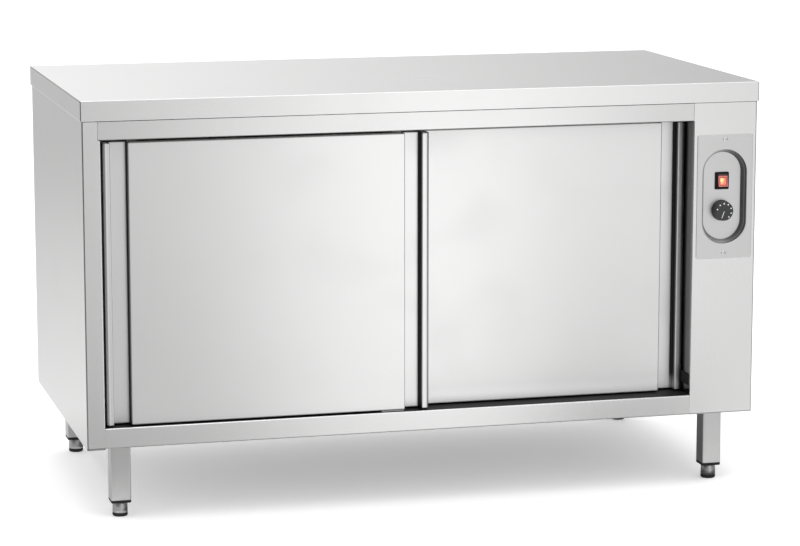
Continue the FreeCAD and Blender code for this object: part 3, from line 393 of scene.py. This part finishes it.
def worktopSeamsAndPaintedEdges(finish, tone, rough):  # dark seam lines at the folded corners, and at the ends painted shade along the top bend and a painted highlight along the lower rim
    look = edgeLook
    low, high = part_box("worktop")
    across = abs(abs(finish.x) - high.x - (abs(finish.y) - high.y))
    corner = 1 - finish.band(across, look["line"], look["lineEnd"])
    corner = corner * abs(finish.x).above(high.x - look["reach"]) * finish.z.below(high.z - look["drop"])
    tone = finish.blend(corner * look["dark"], tone, grey(look["tone"]))
    side = abs(finish.x).above(high.x - look["side"])
    crease = side * finish.z.above(high.z - look["crease"])
    tone = finish.blend(crease * look["creaseDark"], tone, grey(look["creaseTone"]))
    rim = side * finish.z.below(low.z + look["rim"])
    return finish.blend(rim * look["bright"], tone, grey(1.0)), rough


scuffLook = {"size": (60.0, 60.0, 20.0), "detail": 4.0, "shift": 2.0, "from": 0.55, "full": 0.7, "low": 0.04,
             "high": 0.12, "rough": 0.08}


def legScuffs(finish, tone, rough):  # light wear above the feet
    look = scuffLook
    scuff = finish.band(finish.noise(look["size"], look["detail"], look["shift"]), look["from"], look["full"])
    scuff = scuff * (1 - finish.band(finish.z, look["low"], look["high"]))
    return tone, rough + look["rough"] * scuff


shadings = {
    "panel_steel": (railSeams, paintedRailEndShade, paintedReturnShade, paintedBendShade, paintedWorktopShadeAndHighlight),
    "control_steel": (paintedBowlShade,),
    "door_steel": (paintedChannelShade, paintedBaseHighlight, paintedLipShadeAndHighlight, paintedRimShade),
    "worktop_steel": (worktopSeamsAndPaintedEdges,),
    "leg_steel": (legScuffs,),
}


def steel(name):
    look = steelLooks[name]
    finish = Finish(name)
    shift = brushed["shift"] * len(name)
    main = grain(finish, look["along"], shift)
    ends = grain(finish, look["ends"], shift + brushed["endShift"])
    lines = main + finish.facing(look["along"]) * (ends - main)
    cloud = finish.noise(brushed["cloud"], 2.0, shift)
    wipe = finish.noise(brushed["wipe"], 1.0, shift + brushed["wipeShift"])
    wipe = finish.band(wipe, brushed["wipeFrom"], brushed["wipeFull"])
    share = 0.5 + look["grain"] * brushed["contrast"] * (lines - 0.5) + brushed["cloudTone"] * (cloud - 0.5)
    dark = grey(look["tone"] * brushed["dark"], brushed["darkWarmth"])
    light = grey(look["tone"] * brushed["light"], brushed["lightWarmth"])
    tone = finish.blend(share, dark, light)
    rough = look["rough"] + look["grain"] * (lines - 0.5) + brushed["cloudRough"] * (cloud - 0.5)
    rough = rough + look["smudge"] * wipe
    for shading in shadings.get(name, ()):
        tone, rough = shading(finish, tone, rough)
    normal = finish.bump(lines, look["bump"], brushed["groove"], brushed["softEdge"])
    return finish.surface(Base_Color=tone, Metallic=1.0, Roughness=rough, Normal=normal,
                          Anisotropic=look.get("stretch", 0.0), Anisotropic_Rotation=look.get("turn", 0.0))


# plastics and rubber

mouldedLooks = {
    "buffer_rubber": {"colour": (0.018, 0.018, 0.019), "rough": 0.72, "size": 900.0, "bump": 0.25,
                      "shine": 0.12},
    "grey_plastic": {"colour": (0.34, 0.35, 0.36), "rough": 0.5, "size": 900.0, "bump": 0.15, "shine": 0.5},
    "white_plastic": {"colour": (0.80, 0.80, 0.77), "rough": 0.38, "size": 800.0, "bump": 0.08, "shine": 0.5},
    "black_plastic": {"colour": (0.012, 0.012, 0.013), "rough": 0.48, "size": 1100.0, "bump": 0.2,
                      "shine": 0.15},
    "knob_plastic": {"colour": (0.023, 0.024, 0.025), "rough": 0.42, "size": 1400.0, "bump": 0.18,
                     "shine": 0.38},
}
mouldedSkin = {"detail": 3.0, "shift": 1.3, "cloud": 18.0, "cloudShift": 4.1, "dark": 0.82, "light": 1.18,
               "lift": 0.004, "skinRough": 0.16, "cloudRough": 0.1, "depth": 0.0003, "softEdge": 0.0005}


def moulded(name):
    look = mouldedLooks[name]
    shared = mouldedSkin
    finish = Finish(name)
    skin = finish.noise(look["size"], shared["detail"], shared["shift"])
    cloud = finish.noise(shared["cloud"], 2.0, shared["cloudShift"])
    dark = tuple(part * shared["dark"] for part in look["colour"]) + (1.0,)
    light = tuple(min(part * shared["light"] + shared["lift"], 1.0) for part in look["colour"]) + (1.0,)
    tone = finish.blend(0.5 * skin + 0.5 * cloud, dark, light)
    rough = look["rough"] + shared["skinRough"] * (skin - 0.5) + shared["cloudRough"] * (cloud - 0.5)
    normal = finish.bump(skin, look["bump"], shared["depth"], shared["softEdge"])
    return finish.surface(Base_Color=tone, Roughness=rough, Specular_IOR_Level=look["shine"], Normal=normal)


# wool, board, copper and paint

woolLook = {"across": (240.0, 900.0, 900.0), "along": (900.0, 240.0, 900.0), "clump": 45.0, "from": 0.35,
            "to": 0.65, "dark": (0.42, 0.36, 0.16, 1.0), "light": (0.86, 0.80, 0.56, 1.0), "rough": 0.95,
            "bump": 0.8, "depth": 0.002}


def mineralWool():
    look = woolLook
    finish = Finish("mineral_wool")
    fibre = finish.noise(look["across"], 4.0) * 0.5 + finish.noise(look["along"], 4.0, 3.0) * 0.5
    clump = finish.noise(look["clump"], 3.0, 2.0)
    tone = finish.blend(finish.band(fibre, look["from"], look["to"]), look["dark"], look["light"])
    normal = finish.bump(fibre + clump, look["bump"], look["depth"])
    return finish.surface(Base_Color=tone, Roughness=look["rough"], Normal=normal)


boardLook = {"chips": 260.0, "dark": (0.42, 0.30, 0.18, 1.0), "light": (0.72, 0.58, 0.40, 1.0), "rough": 0.85,
             "bump": 0.3, "depth": 0.0004}


def chipboard():
    look = boardLook
    finish = Finish("board")
    values = {"Vector": finish.place, "Scale": look["chips"]}
    shade = finish.red(finish.node("TexVoronoi", {"feature": "F1"}, values, "Color"))
    tone = finish.blend(shade, look["dark"], look["light"])
    normal = finish.bump(shade, look["bump"], look["depth"])
    return finish.surface(Base_Color=tone, Roughness=look["rough"], Normal=normal)


copperLook = {"drawn": (900.0, 30.0, 900.0), "tarnish": 30.0, "from": 0.4, "to": 0.65,
              "bright": (0.72, 0.42, 0.28, 1.0), "darkened": (0.42, 0.24, 0.16, 1.0), "rough": 0.28,
              "tarnishRough": 0.2, "bump": 0.1, "depth": 0.0002}


def copperTube():
    look = copperLook
    finish = Finish("copper_tube")
    lines = finish.noise(look["drawn"], 2.0)
    tarnish = finish.noise(look["tarnish"], 3.0, 1.0)
    tone = finish.blend(finish.band(tarnish, look["from"], look["to"]), look["bright"], look["darkened"])
    rough = look["rough"] + look["tarnishRough"] * tarnish
    normal = finish.bump(lines, look["bump"], look["depth"])
    return finish.surface(Base_Color=tone, Metallic=1.0, Roughness=rough, Normal=normal)


paintLook = {"peel": 700.0, "dust": 40.0, "from": 0.45, "to": 0.8, "clean": (0.055, 0.058, 0.062, 1.0),
             "dusty": (0.15, 0.15, 0.15, 1.0), "rough": 0.42, "dustRough": 0.2, "bump": 0.15, "depth": 0.0003}


def motorPaint():
    look = paintLook
    finish = Finish("motor_paint")
    peel = finish.noise(look["peel"], 2.0)
    dust = finish.noise(look["dust"], 3.0, 2.0)
    tone = finish.blend(finish.band(dust, look["from"], look["to"]), look["clean"], look["dusty"])
    rough = look["rough"] + look["dustRough"] * dust
    normal = finish.bump(peel, look["bump"], look["depth"])
    return finish.surface(Base_Color=tone, Roughness=rough, Normal=normal)


# the lit rocker's lens

lampLook = {
    "core": (1.0, 0.74, 0.30, 1.0), "window": (0.80, 0.19, 0.11, 1.0), "edge": (0.56, 0.20, 0.17, 1.0),
    "rim": (0.34, 0.050, 0.042, 1.0), "black": (0.012, 0.010, 0.010, 1.0), "body": (0.05, 0.010, 0.008, 1.0),
    "bodyShare": 0.75, "rough": 0.24, "rippleRough": 0.1, "coat": 0.25, "glow": 0.95,
    "halfWidth": 0.0061, "low": -0.0078, "high": 0.0056,  # the lit window, from the lens's middle
    "inside": -0.0003, "outside": 0.0004, "ring": 0.0030, "lineCore": 0.0002, "line": 0.0009, "top": 0.0104,
    "coreX": -0.0026, "coreZ": 0.0016, "coreWide": 0.0075, "coreTall": 0.012, "coreEnd": 0.15,
    "ripple": (500.0, 500.0, 700.0), "rippleShare": 0.7,
}


def redLens():
    look = lampLook
    finish = Finish("red_lens")
    low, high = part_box("switch_rocker")
    middle = (low + high) / 2
    across = finish.x - middle.x
    up = finish.z - middle.z
    tall = (look["high"] - look["low"]) / 2
    centre = (look["high"] + look["low"]) / 2
    out = finish.larger(abs(across) - look["halfWidth"], abs(up - centre) - tall)  # metres outside the window
    ripple = finish.noise(look["ripple"], 2.0)
    far = abs(across - look["coreX"]) / look["coreWide"] + abs(up - look["coreZ"]) / look["coreTall"]
    far = far + look["rippleShare"] * (ripple - 0.5)
    glow = finish.blend(finish.band(far, look["coreEnd"], 1.0), look["core"], look["window"])
    line = finish.band(abs(out - look["ring"]), look["lineCore"], look["line"])
    rim = finish.blend(line, look["edge"], look["rim"])
    colour = finish.blend(finish.band(out, look["inside"], look["outside"]), glow, rim)
    cap = finish.larger(up.above(look["top"]), 1 - finish.facing("y"))  # black round the lens
    colour = finish.blend(cap, colour, look["black"])
    return finish.surface(Base_Color=finish.blend(look["bodyShare"], colour, look["body"]),
                          Roughness=look["rough"] + look["rippleRough"] * ripple, Emission_Color=colour,
                          Emission_Strength=look["glow"], Coat_Weight=look["coat"])


finishes = {name: steel(name) for name in steelLooks}
finishes.update({name: moulded(name) for name in mouldedLooks})
finishes["red_lens"] = redLens()
finishes["mineral_wool"] = mineralWool()
finishes["board"] = chipboard()
finishes["copper_tube"] = copperTube()
finishes["motor_paint"] = motorPaint()
for name, node in frame["nodes"].items():
    node.data.materials.clear()
    node.data.materials.append(finishes[slotOf[name]])
print("finishes:", len(finishes))


# making pieces

def turned(profile, steps, place):  # (radius, height) pairs spun about Z, then put in place
    mesh = bmesh.new()
    corners = [mesh.verts.new((radius, 0.0, height)) for radius, height in profile]
    edges = [mesh.edges.new(pair) for pair in zip(corners[:-1], corners[1:])]
    bmesh.ops.spin(mesh, geom=corners + edges, cent=(0, 0, 0), axis=(0, 0, 1), angle=2 * math.pi, steps=steps,
                   use_merge=True)
    bmesh.ops.remove_doubles(mesh, verts=mesh.verts, dist=1e-6)
    bmesh.ops.recalc_face_normals(mesh, faces=mesh.faces)
    bmesh.ops.transform(mesh, matrix=place, verts=mesh.verts)
    return mesh


def together(parts):  # one bmesh from several
    whole = bmesh.new()
    for part in parts:
        data = bpy.data.meshes.new("part")
        part.to_mesh(data)
        part.free()
        whole.from_mesh(data)
        bpy.data.meshes.remove(data)
    return whole


def roundEdges(mesh, width, segments, sharpest=30.0):
    shared = [edge for edge in mesh.edges if len(edge.link_faces) == 2]
    sharp = [edge for edge in shared if edge.calc_face_angle() > math.radians(sharpest)]
    bmesh.ops.bevel(mesh, geom=sharp, offset=width, segments=segments, profile=0.5, affect="EDGES",
                    material=-1, clamp_overlap=True)


def placed(name, mesh, finish):  # the mesh as an object in the scene
    data = bpy.data.meshes.new(name)
    mesh.to_mesh(data)
    mesh.free()
    data.materials.append(finish)
    piece = bpy.data.objects.new(name, data)
    bpy.context.scene.collection.objects.link(piece)
    return piece


def finished(name, mesh, body, slot, finish=None, standsFor=(), smooth=35.0):
    piece = placed(name, mesh, finish or finishes[slot])
    piece.data.shade_smooth()
    piece.data.set_sharp_from_angle(angle=math.radians(smooth))
    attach(piece, body)
    if standsFor:
        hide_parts(*standsFor)


def upright(x, y, z):  # local Z looks out of the front, local Y stays up
    return Matrix.Translation((x, y, z)) @ Matrix.Rotation(math.radians(90), 4, "X")


# temperature knob

knobLook = {
    "tall": 0.018, "flutes": 44, "stepsPerFlute": 4, "fluteDepth": 0.00055,
    "side": 0.0016,  # the grip's side, in from the skirt's rim
    "skirt": [(0.00036, 0.0), (0.0, 0.0004), (0.0, 0.0022), (0.00066, 0.0026)],  # in from the rim, height
    "crown": [(-0.0006, 0.0081), (-0.0001, 0.00128), (0.0002, 0.00064), (0.00072, 0.0001),
              (0.00128, 0.0), (0.0040, 0.0)],  # in from the side, down from the top
    "gripFrom": 0.0025, "gripTo": 0.0008, "gripDepth": 0.001, "spindle": 0.003, "spindleLength": 0.030,
    "markRing": 0.0157, "markSize": 0.0021, "markAngles": (164, 126, 92, 58, 21, -16, -50), "ink": 0.00012,
    "pointerAngle": -110, "pointerStart": 0.0003, "pointerEnd": 0.0152, "pointerWidth": 0.0011,
}


def makeKnob():
    look = knobLook
    low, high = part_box("temperature_knob")
    x = (low.x + high.x) / 2
    z = (low.z + high.z) / 2
    radius = (high.x - low.x) / 2
    side = radius - look["side"]
    skirt = [(radius - inset, height) for inset, height in look["skirt"]]
    crown = [(side - inset, look["tall"] - down) for inset, down in look["crown"]]
    profile = [(0, 0)] + skirt + crown + [(0, look["tall"])]
    knob = turned(profile, look["flutes"] * look["stepsPerFlute"], Matrix.Identity(4))
    for vert in knob.verts:  # shallow flutes for the fingers
        onSide = look["gripFrom"] < vert.co.z < look["tall"] - look["gripTo"]
        if onSide and vert.co.xy.length > side - look["gripDepth"]:
            turn = math.atan2(vert.co.y, vert.co.x) * look["flutes"]
            dip = look["fluteDepth"] * (0.5 + 0.5 * math.cos(turn))
            vert.co.xy *= 1 - dip / vert.co.xy.length
    end = -look["spindleLength"]
    spindle = [(0, end), (look["spindle"], end), (look["spindle"], 0), (0, 0)]
    whole = together([knob, turned(spindle, 24, Matrix.Identity(4))])
    bmesh.ops.transform(whole, matrix=upright(x, low.y + look["tall"], z), verts=whole.verts)
    finished("knob_grip", whole, "knob", "knob_plastic", standsFor=["temperature_knob"])
    makeKnobMarks(upright(x, low.y, z))


def makeKnobMarks(place):
    look = knobLook
    marks = []
    for angle in look["markAngles"]:
        mark = bmesh.new()
        bmesh.ops.create_cone(mark, cap_ends=True, segments=3, radius1=look["markSize"],
                              radius2=look["markSize"], depth=look["ink"])
        out = Matrix.Translation((0, look["markRing"], 0))
        turn = Matrix.Rotation(math.radians(angle - 90), 4, "Z")
        bmesh.ops.transform(mark, matrix=turn @ out, verts=mark.verts)
        marks.append(mark)
    line = bmesh.new()
    bmesh.ops.create_cube(line, size=1.0)
    length = look["pointerEnd"] - look["pointerStart"]
    turn = Matrix.Rotation(math.radians(look["pointerAngle"]), 3, "Z")
    bmesh.ops.scale(line, vec=(length, look["pointerWidth"], look["ink"]), verts=line.verts)
    bmesh.ops.translate(line, vec=(look["pointerStart"] + length / 2, 0, 0), verts=line.verts)
    bmesh.ops.rotate(line, cent=(0, 0, 0), matrix=turn, verts=line.verts)
    marks.append(line)
    whole = together(marks)
    bmesh.ops.transform(whole, matrix=place, verts=whole.verts)
    finished("knob_marks", whole, "knob", "white_plastic")


# rocker switch

rockerLook = {"width": 0.0204, "height": 0.026, "rise": 0.009, "dip": 0.0016, "dipSteps": 8, "back": 0.003,
              "round": 0.0009, "tilt": -8.0, "pin": 0.0015, "pinSpan": 0.0224, "smooth": 40.0}


def makeRocker():
    look = rockerLook
    half = look["height"] / 2
    mesh = bmesh.new()
    outline = [(look["back"], -half), (-look["rise"], -half)]
    for step in range(1, look["dipSteps"]):  # the dished face
        share = step / look["dipSteps"] * 2 - 1
        outline.append((-look["rise"] + look["dip"] * (1 - share * share), share * half))
    outline += [(-look["rise"], half), (look["back"], half)]
    corners = [mesh.verts.new((-look["width"] / 2, y, z)) for y, z in outline]
    face = mesh.faces.new(corners)
    grown = bmesh.ops.extrude_face_region(mesh, geom=[face], use_keep_orig=True)
    moved = [item for item in grown["geom"] if isinstance(item, bmesh.types.BMVert)]
    bmesh.ops.translate(mesh, vec=(look["width"], 0, 0), verts=moved)
    bmesh.ops.recalc_face_normals(mesh, faces=mesh.faces)
    roundEdges(mesh, look["round"], 3)
    end = look["pinSpan"] / 2
    pin = turned([(0, -end), (look["pin"], -end), (look["pin"], end), (0, end)], 24,
                 Matrix.Rotation(math.radians(90), 4, "Y"))
    whole = together([mesh, pin])
    pivot = Vector(jointOf["rocker_tilt"]["pos_m"])
    place = Matrix.Translation(pivot) @ Matrix.Rotation(math.radians(look["tilt"]), 4, "X")
    bmesh.ops.transform(whole, matrix=place, verts=whole.verts)
    finished("rocker_lens", whole, "rocker", "red_lens", standsFor=["switch_rocker"], smooth=look["smooth"])


# screws

screwLook = {
    "head": 0.0050, "height": 0.0014, "shank": 0.0019, "length": 0.008, "slot": 0.0005, "reach": 0.0027,
    "depth": 0.0008, "crownShares": [(1.0, 0.35), (0.94, 0.68), (0.78, 0.88), (0.5, 0.98), (0.0, 1.0)],
    "topShare": 0.5, "plateReach": 0.118, "plateTurns": (20, 52), "sideInset": 0.010, "perSide": 4,
    "turnStep": 31, "turnSide": 17,
}


def crossScrew(place):
    look = screwLook
    rim = look["head"]
    tall = look["height"]
    profile = [(0, -look["length"]), (look["shank"], -look["length"]), (look["shank"], 0), (rim, 0)]
    profile += [(rim * wide, tall * high) for wide, high in look["crownShares"]]
    screw = turned(profile, 32, Matrix.Identity(4))
    for axis in ((1, 0, 0), (0, 1, 0)):
        for side in (-look["reach"], -look["slot"], look["slot"], look["reach"]):
            top = [item for item in screw.faces if item.calc_center_median().z > tall * look["topShare"]]
            edges = {edge for item in top for edge in item.edges}
            corners = {vert for item in top for vert in item.verts}
            bmesh.ops.bisect_plane(screw, geom=list(corners) + list(edges) + top, dist=1e-7,
                                   plane_co=Vector(axis) * side, plane_no=axis)
    cross = []
    for item in screw.faces:
        centre = item.calc_center_median()
        across, along = sorted((abs(centre.x), abs(centre.y)))
        if centre.z > tall * look["topShare"] and across < look["slot"] and along < look["reach"]:
            cross.append(item)
    sunk = bmesh.ops.extrude_face_region(screw, geom=cross)
    moved = [item for item in sunk["geom"] if isinstance(item, bmesh.types.BMVert)]
    bmesh.ops.translate(screw, vec=(0, 0, -look["depth"]), verts=moved)
    bmesh.ops.transform(screw, matrix=place, verts=screw.verts)
    return screw


def makeScrews():
    look = screwLook
    low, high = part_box("control_plate")
    plateX = (low.x + high.x) / 2
    plateZ = (low.z + high.z) / 2
    screws = []
    for side, angle in zip((1, -1), look["plateTurns"]):
        spin = Matrix.Rotation(math.radians(angle), 4, "Z")
        screws.append(crossScrew(upright(plateX, low.y, plateZ + side * look["plateReach"]) @ spin))
    sideLow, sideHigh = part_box("left_side_panel")
    backLow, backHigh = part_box("back_panel")
    pitch = (backHigh.z - backLow.z) / look["perSide"]
    outwards = Matrix.Rotation(math.radians(-90), 4, "X")
    for side in (-1, 1):
        for number in range(look["perSide"]):
            x = side * (abs(sideLow.x) - look["sideInset"])
            spot = Matrix.Translation((x, sideHigh.y, backLow.z + pitch * (number + 0.5)))
            spin = Matrix.Rotation(math.radians(look["turnStep"] * number + look["turnSide"] * side), 4, "Z")
            screws.append(crossScrew(spot @ outwards @ spin))
    finished("cross_screws", together(screws), "cabinet", "screw_steel", standsFor=["panel_screws"])


# feet

footLook = {
    "pad": 0.0078, "low": 0.0155, "high": 0.0145, "tall": 0.029, "stem": 0.005, "stemTop": 0.085,
    "tip": 0.0012, "pitch": 0.0015, "threadFrom": 0.0005, "threadDepth": 0.0006, "steps": 48, "smooth": 50.0,
    "padLap": 0.0010,
    # in from the low radius, and up from the pad
    "bead": [(0.0012, -0.0010), (0.0006, -0.0002), (0.0001, 0.0006), (0.0002, 0.0060), (0.0008, 0.0064),
             (0.0008, 0.0072), (0.0003, 0.0076)],
    # in from the high radius, and down from the shell's top
    "shoulder": [(-0.0001, 0.0020), (0.0005, 0.0008), (0.0018, 0.0001), (0.0030, 0.0)],
    # in from the low radius, and up from the floor or down from the pad's top
    "sole": [(0.0030, 0.0), (0.0018, 0.0003), (0.0008, 0.0012), (0.0001, 0.0028), (0.0, 0.0044)],
    "padTop": [(0.0004, 0.0006), (0.0014, 0.0003)],
}


def makeFoot(corner):
    look = footLook
    foot = "foot_" + corner
    low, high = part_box(foot)
    place = Matrix.Translation(((low.x + high.x) / 2, (low.y + high.y) / 2, 0))
    shell = [(0, look["pad"] - look["padLap"])]
    shell += [(look["low"] - inset, look["pad"] + up) for inset, up in look["bead"]]
    shell += [(look["high"] - inset, look["tall"] - down) for inset, down in look["shoulder"]]
    shell.append((look["stem"], look["tall"]))
    root = look["stem"] - look["threadDepth"]
    height = look["tall"] + look["threadFrom"]
    while height < look["stemTop"] - look["pitch"]:
        shell += [(root, height), (look["stem"], height + look["pitch"] / 2)]
        height += look["pitch"]
    shell += [(root, height), (look["stem"] - look["tip"], look["stemTop"]), (0, look["stemTop"])]
    finished(foot + "_shell", turned(shell, look["steps"], place), foot, "leg_steel", finishes["foot_steel"],
             standsFor=[foot], smooth=look["smooth"])
    pad = [(0, 0.0)] + [(look["low"] - inset, height) for inset, height in look["sole"]]
    pad += [(look["low"] - inset, look["pad"] - down) for inset, down in look["padTop"]]
    pad.append((0, pad[-1][1]))
    finished(foot + "_pad", turned(pad, look["steps"], place), foot, "buffer_rubber")


makeKnob()
makeRocker()
makeScrews()
for corner in ("front_left", "front_right", "back_left", "back_right"):
    makeFoot(corner)
print("pieces made")


# cards that only reflections see

cardPeak = 4.0  # the brightest that a ramp can reach
mirrored = {"x": -1.5534, "y": 5.2718, "reach": 5.6218}  # where the front mirrors the camera, and how far off
doorGlow = [(-4.0, 0.10), (-1.9, 0.28), (-1.1, 0.55), (-0.80, 0.70), (-0.45, 0.85), (-0.15, 1.45),
            (0.10, 1.66), (0.35, 1.06), (0.70, 1.00), (1.1, 0.92), (1.6, 0.50), (2.4, 0.35)]
cards = [  # name, two corners, what the brightness follows, its (place, brightness) pairs
    ("frontFloorCard", (-7, -7.0, 0.0015), (7, -0.50, 0.0015), "fan", doorGlow),
    ("frontWallCard", (-7, -7.0, 0), (7, -7.0, 6), "fan", doorGlow),
    ("leftWallCard", (-7, -7.0, 0), (-7, -0.6, 6), "y", [(-7.0, 0.12), (-0.6, 0.12)]),
    ("rightWallCard", (7, -7.0, 0), (7, -0.6, 6), "y", [(-7.0, 0.30), (-0.6, 0.12)]),
    ("backWallCard", (-1.0, 6.5, 0), (7, 6.5, 5), "x", [(-1.0, 1.08), (0.2, 1.10), (3.3, 0.62), (7.0, 0.55)]),
    ("backLeftWallCard", (-7.0, 6.5, 0), (-1.0, 6.5, 5), "x", [(-7.0, 0.62), (-1.0, 0.62)]),
    ("backLeftFloorCard", (-7.0, -0.3, 0.0015), (-0.60, 6.5, 0.0015), "y",
     [(-0.3, 0.6), (0.15, 0.75), (0.7, 1.0), (1.6, 0.90), (4.5, 0.66), (6.5, 0.60)]),
    ("rightSideWallCard", (7, -0.6, 0), (7, 6.5, 5), "y", [(-0.6, 0.66), (6.5, 0.50)]),
    ("leftSideWallCard", (-7, -0.6, 0), (-7, 6.5, 5), "y", [(-0.6, 0.66), (6.5, 0.62)]),
    ("rightSideFloorCard", (0.75, -0.36, 0.0015), (7, 6.5, 0.0015), "x",
     [(0.75, 0.40), (1.5, 0.80), (7.0, 0.62)]),
    # painted shadow: a dark card under the cabinet, seen only in reflections, stands in for the shade there
    ("underFloorShadowCard", (-0.60, -0.36, 0.0015), (0.75, 1.0, 0.0015), "x", [(-0.60, 0.10), (0.75, 0.10)]),
]
fades = {  # near the cabinet the card drops to a least share, a painted shadow of the cabinet in reflections, which changes along the cabinet's front
    "frontFloorCard": {"near": 0.6, "far": 2.5,
                       "least": [(-0.25, 0.73), (0.30, 0.60), (0.46, 0.61), (0.66, 1.0), (2.0, 1.0)]},
}


def graded(finish, along, stops, peak=1.0):  # a ramp over real places
    first = stops[0][0]
    span = stops[-1][0] - first
    shares = [((place - first) / span, bright / peak) for place, bright in stops]
    return finish.ramp((along - first) / span, shares)


def makeCard(name, low, high, follows, stops):
    mesh = bmesh.new()
    bmesh.ops.create_grid(mesh, x_segments=1, y_segments=1, size=0.5)
    for k, axis in ((0, "Y"), (1, "X")):
        if low[k] == high[k]:
            quarter = Matrix.Rotation(math.radians(90), 3, axis)
            bmesh.ops.rotate(mesh, cent=(0, 0, 0), matrix=quarter, verts=mesh.verts)
    bmesh.ops.scale(mesh, vec=[high[k] - low[k] for k in range(3)], verts=mesh.verts)
    bmesh.ops.translate(mesh, vec=[(high[k] + low[k]) / 2 for k in range(3)], verts=mesh.verts)
    finish = Finish(name)
    if follows == "fan":  # the place on the cabinet's front where this spot is mirrored
        aside = (finish.x - mirrored["x"]) / (mirrored["y"] - finish.y)
        along = mirrored["x"] + mirrored["reach"] * aside
    else:
        along = {"x": finish.x, "y": finish.y}[follows]
    colour = graded(finish, along, stops, cardPeak)
    if name in fades:
        fade = fades[name]
        least = finish.red(graded(finish, along, fade["least"]))
        away = finish.band(0 - finish.y, fade["near"], fade["far"])
        colour = finish.blend(least + (1 - least) * away, grey(0.0), colour)
    glow = finish.node("Emission", {}, {"Color": colour, "Strength": cardPeak})
    finish.node("OutputMaterial", {}, {"Surface": glow})
    card = placed(name, mesh, finish.material)
    card.visible_camera = False
    card.visible_diffuse = False
    card.visible_shadow = False


# the studio

studio = {"floorSize": 60.0, "floorTone": 0.90, "floorSpread": 0.01, "floorCloud": 1.3, "floorRough": 0.9,
          "floorGlow": 0.30, "world": 1.10}
lamp = {"place": (0.4, -0.8, 4.6), "target": (0.0, 0.0, 0.4), "width": 4.5, "height": 3.5, "power": 60.0}
viewpoint = {"place": (-1.55345, -5.97177, 1.48039), "turn": (80.20476, 0.0127, -14.86393), "lens": 132.6928,
             "sensor": 36.0, "clip": 200.0}


def makeFloor():  # a lit white table
    mesh = bmesh.new()
    bmesh.ops.create_circle(mesh, cap_ends=True, segments=96, radius=studio["floorSize"])
    finish = Finish("studio_floor")
    dark = grey(studio["floorTone"] * (1 - studio["floorSpread"]))
    light = grey(studio["floorTone"] * (1 + studio["floorSpread"]))
    tone = finish.blend(finish.noise(studio["floorCloud"], 2.0), dark, light)
    finish.surface(Base_Color=tone, Roughness=studio["floorRough"], Emission_Color=tone,
                   Emission_Strength=studio["floorGlow"])
    placed("studio_floor", mesh, finish.material)


def makeLights():
    world = bpy.data.worlds.new("studio")
    bpy.context.scene.world = world
    world.use_nodes = True
    sky = world.node_tree.nodes["Background"]
    sky.inputs["Color"].default_value = grey(1.0)
    sky.inputs["Strength"].default_value = studio["world"]
    light = bpy.data.lights.new("overheadSoft", "AREA")
    light.shape = "RECTANGLE"
    light.size = lamp["width"]
    light.size_y = lamp["height"]
    light.energy = lamp["power"]
    overhead = bpy.data.objects.new("overheadSoft", light)
    overhead.location = lamp["place"]
    aim = Vector(lamp["target"]) - Vector(lamp["place"])
    overhead.rotation_euler = aim.to_track_quat("-Z", "Y").to_euler()
    bpy.context.scene.collection.objects.link(overhead)


def makeCamera():
    lens = bpy.data.cameras.new("photoView")
    lens.lens = viewpoint["lens"]
    lens.sensor_width = viewpoint["sensor"]
    lens.clip_end = viewpoint["clip"]
    camera = bpy.data.objects.new("photoView", lens)
    camera.location = viewpoint["place"]
    camera.rotation_euler = [math.radians(angle) for angle in viewpoint["turn"]]
    bpy.context.scene.collection.objects.link(camera)
    bpy.context.scene.camera = camera
    bpy.context.scene.view_settings.view_transform = "Standard"


makeFloor()
for row in cards:
    makeCard(*row)
makeLights()
makeCamera()
print("studio ready")
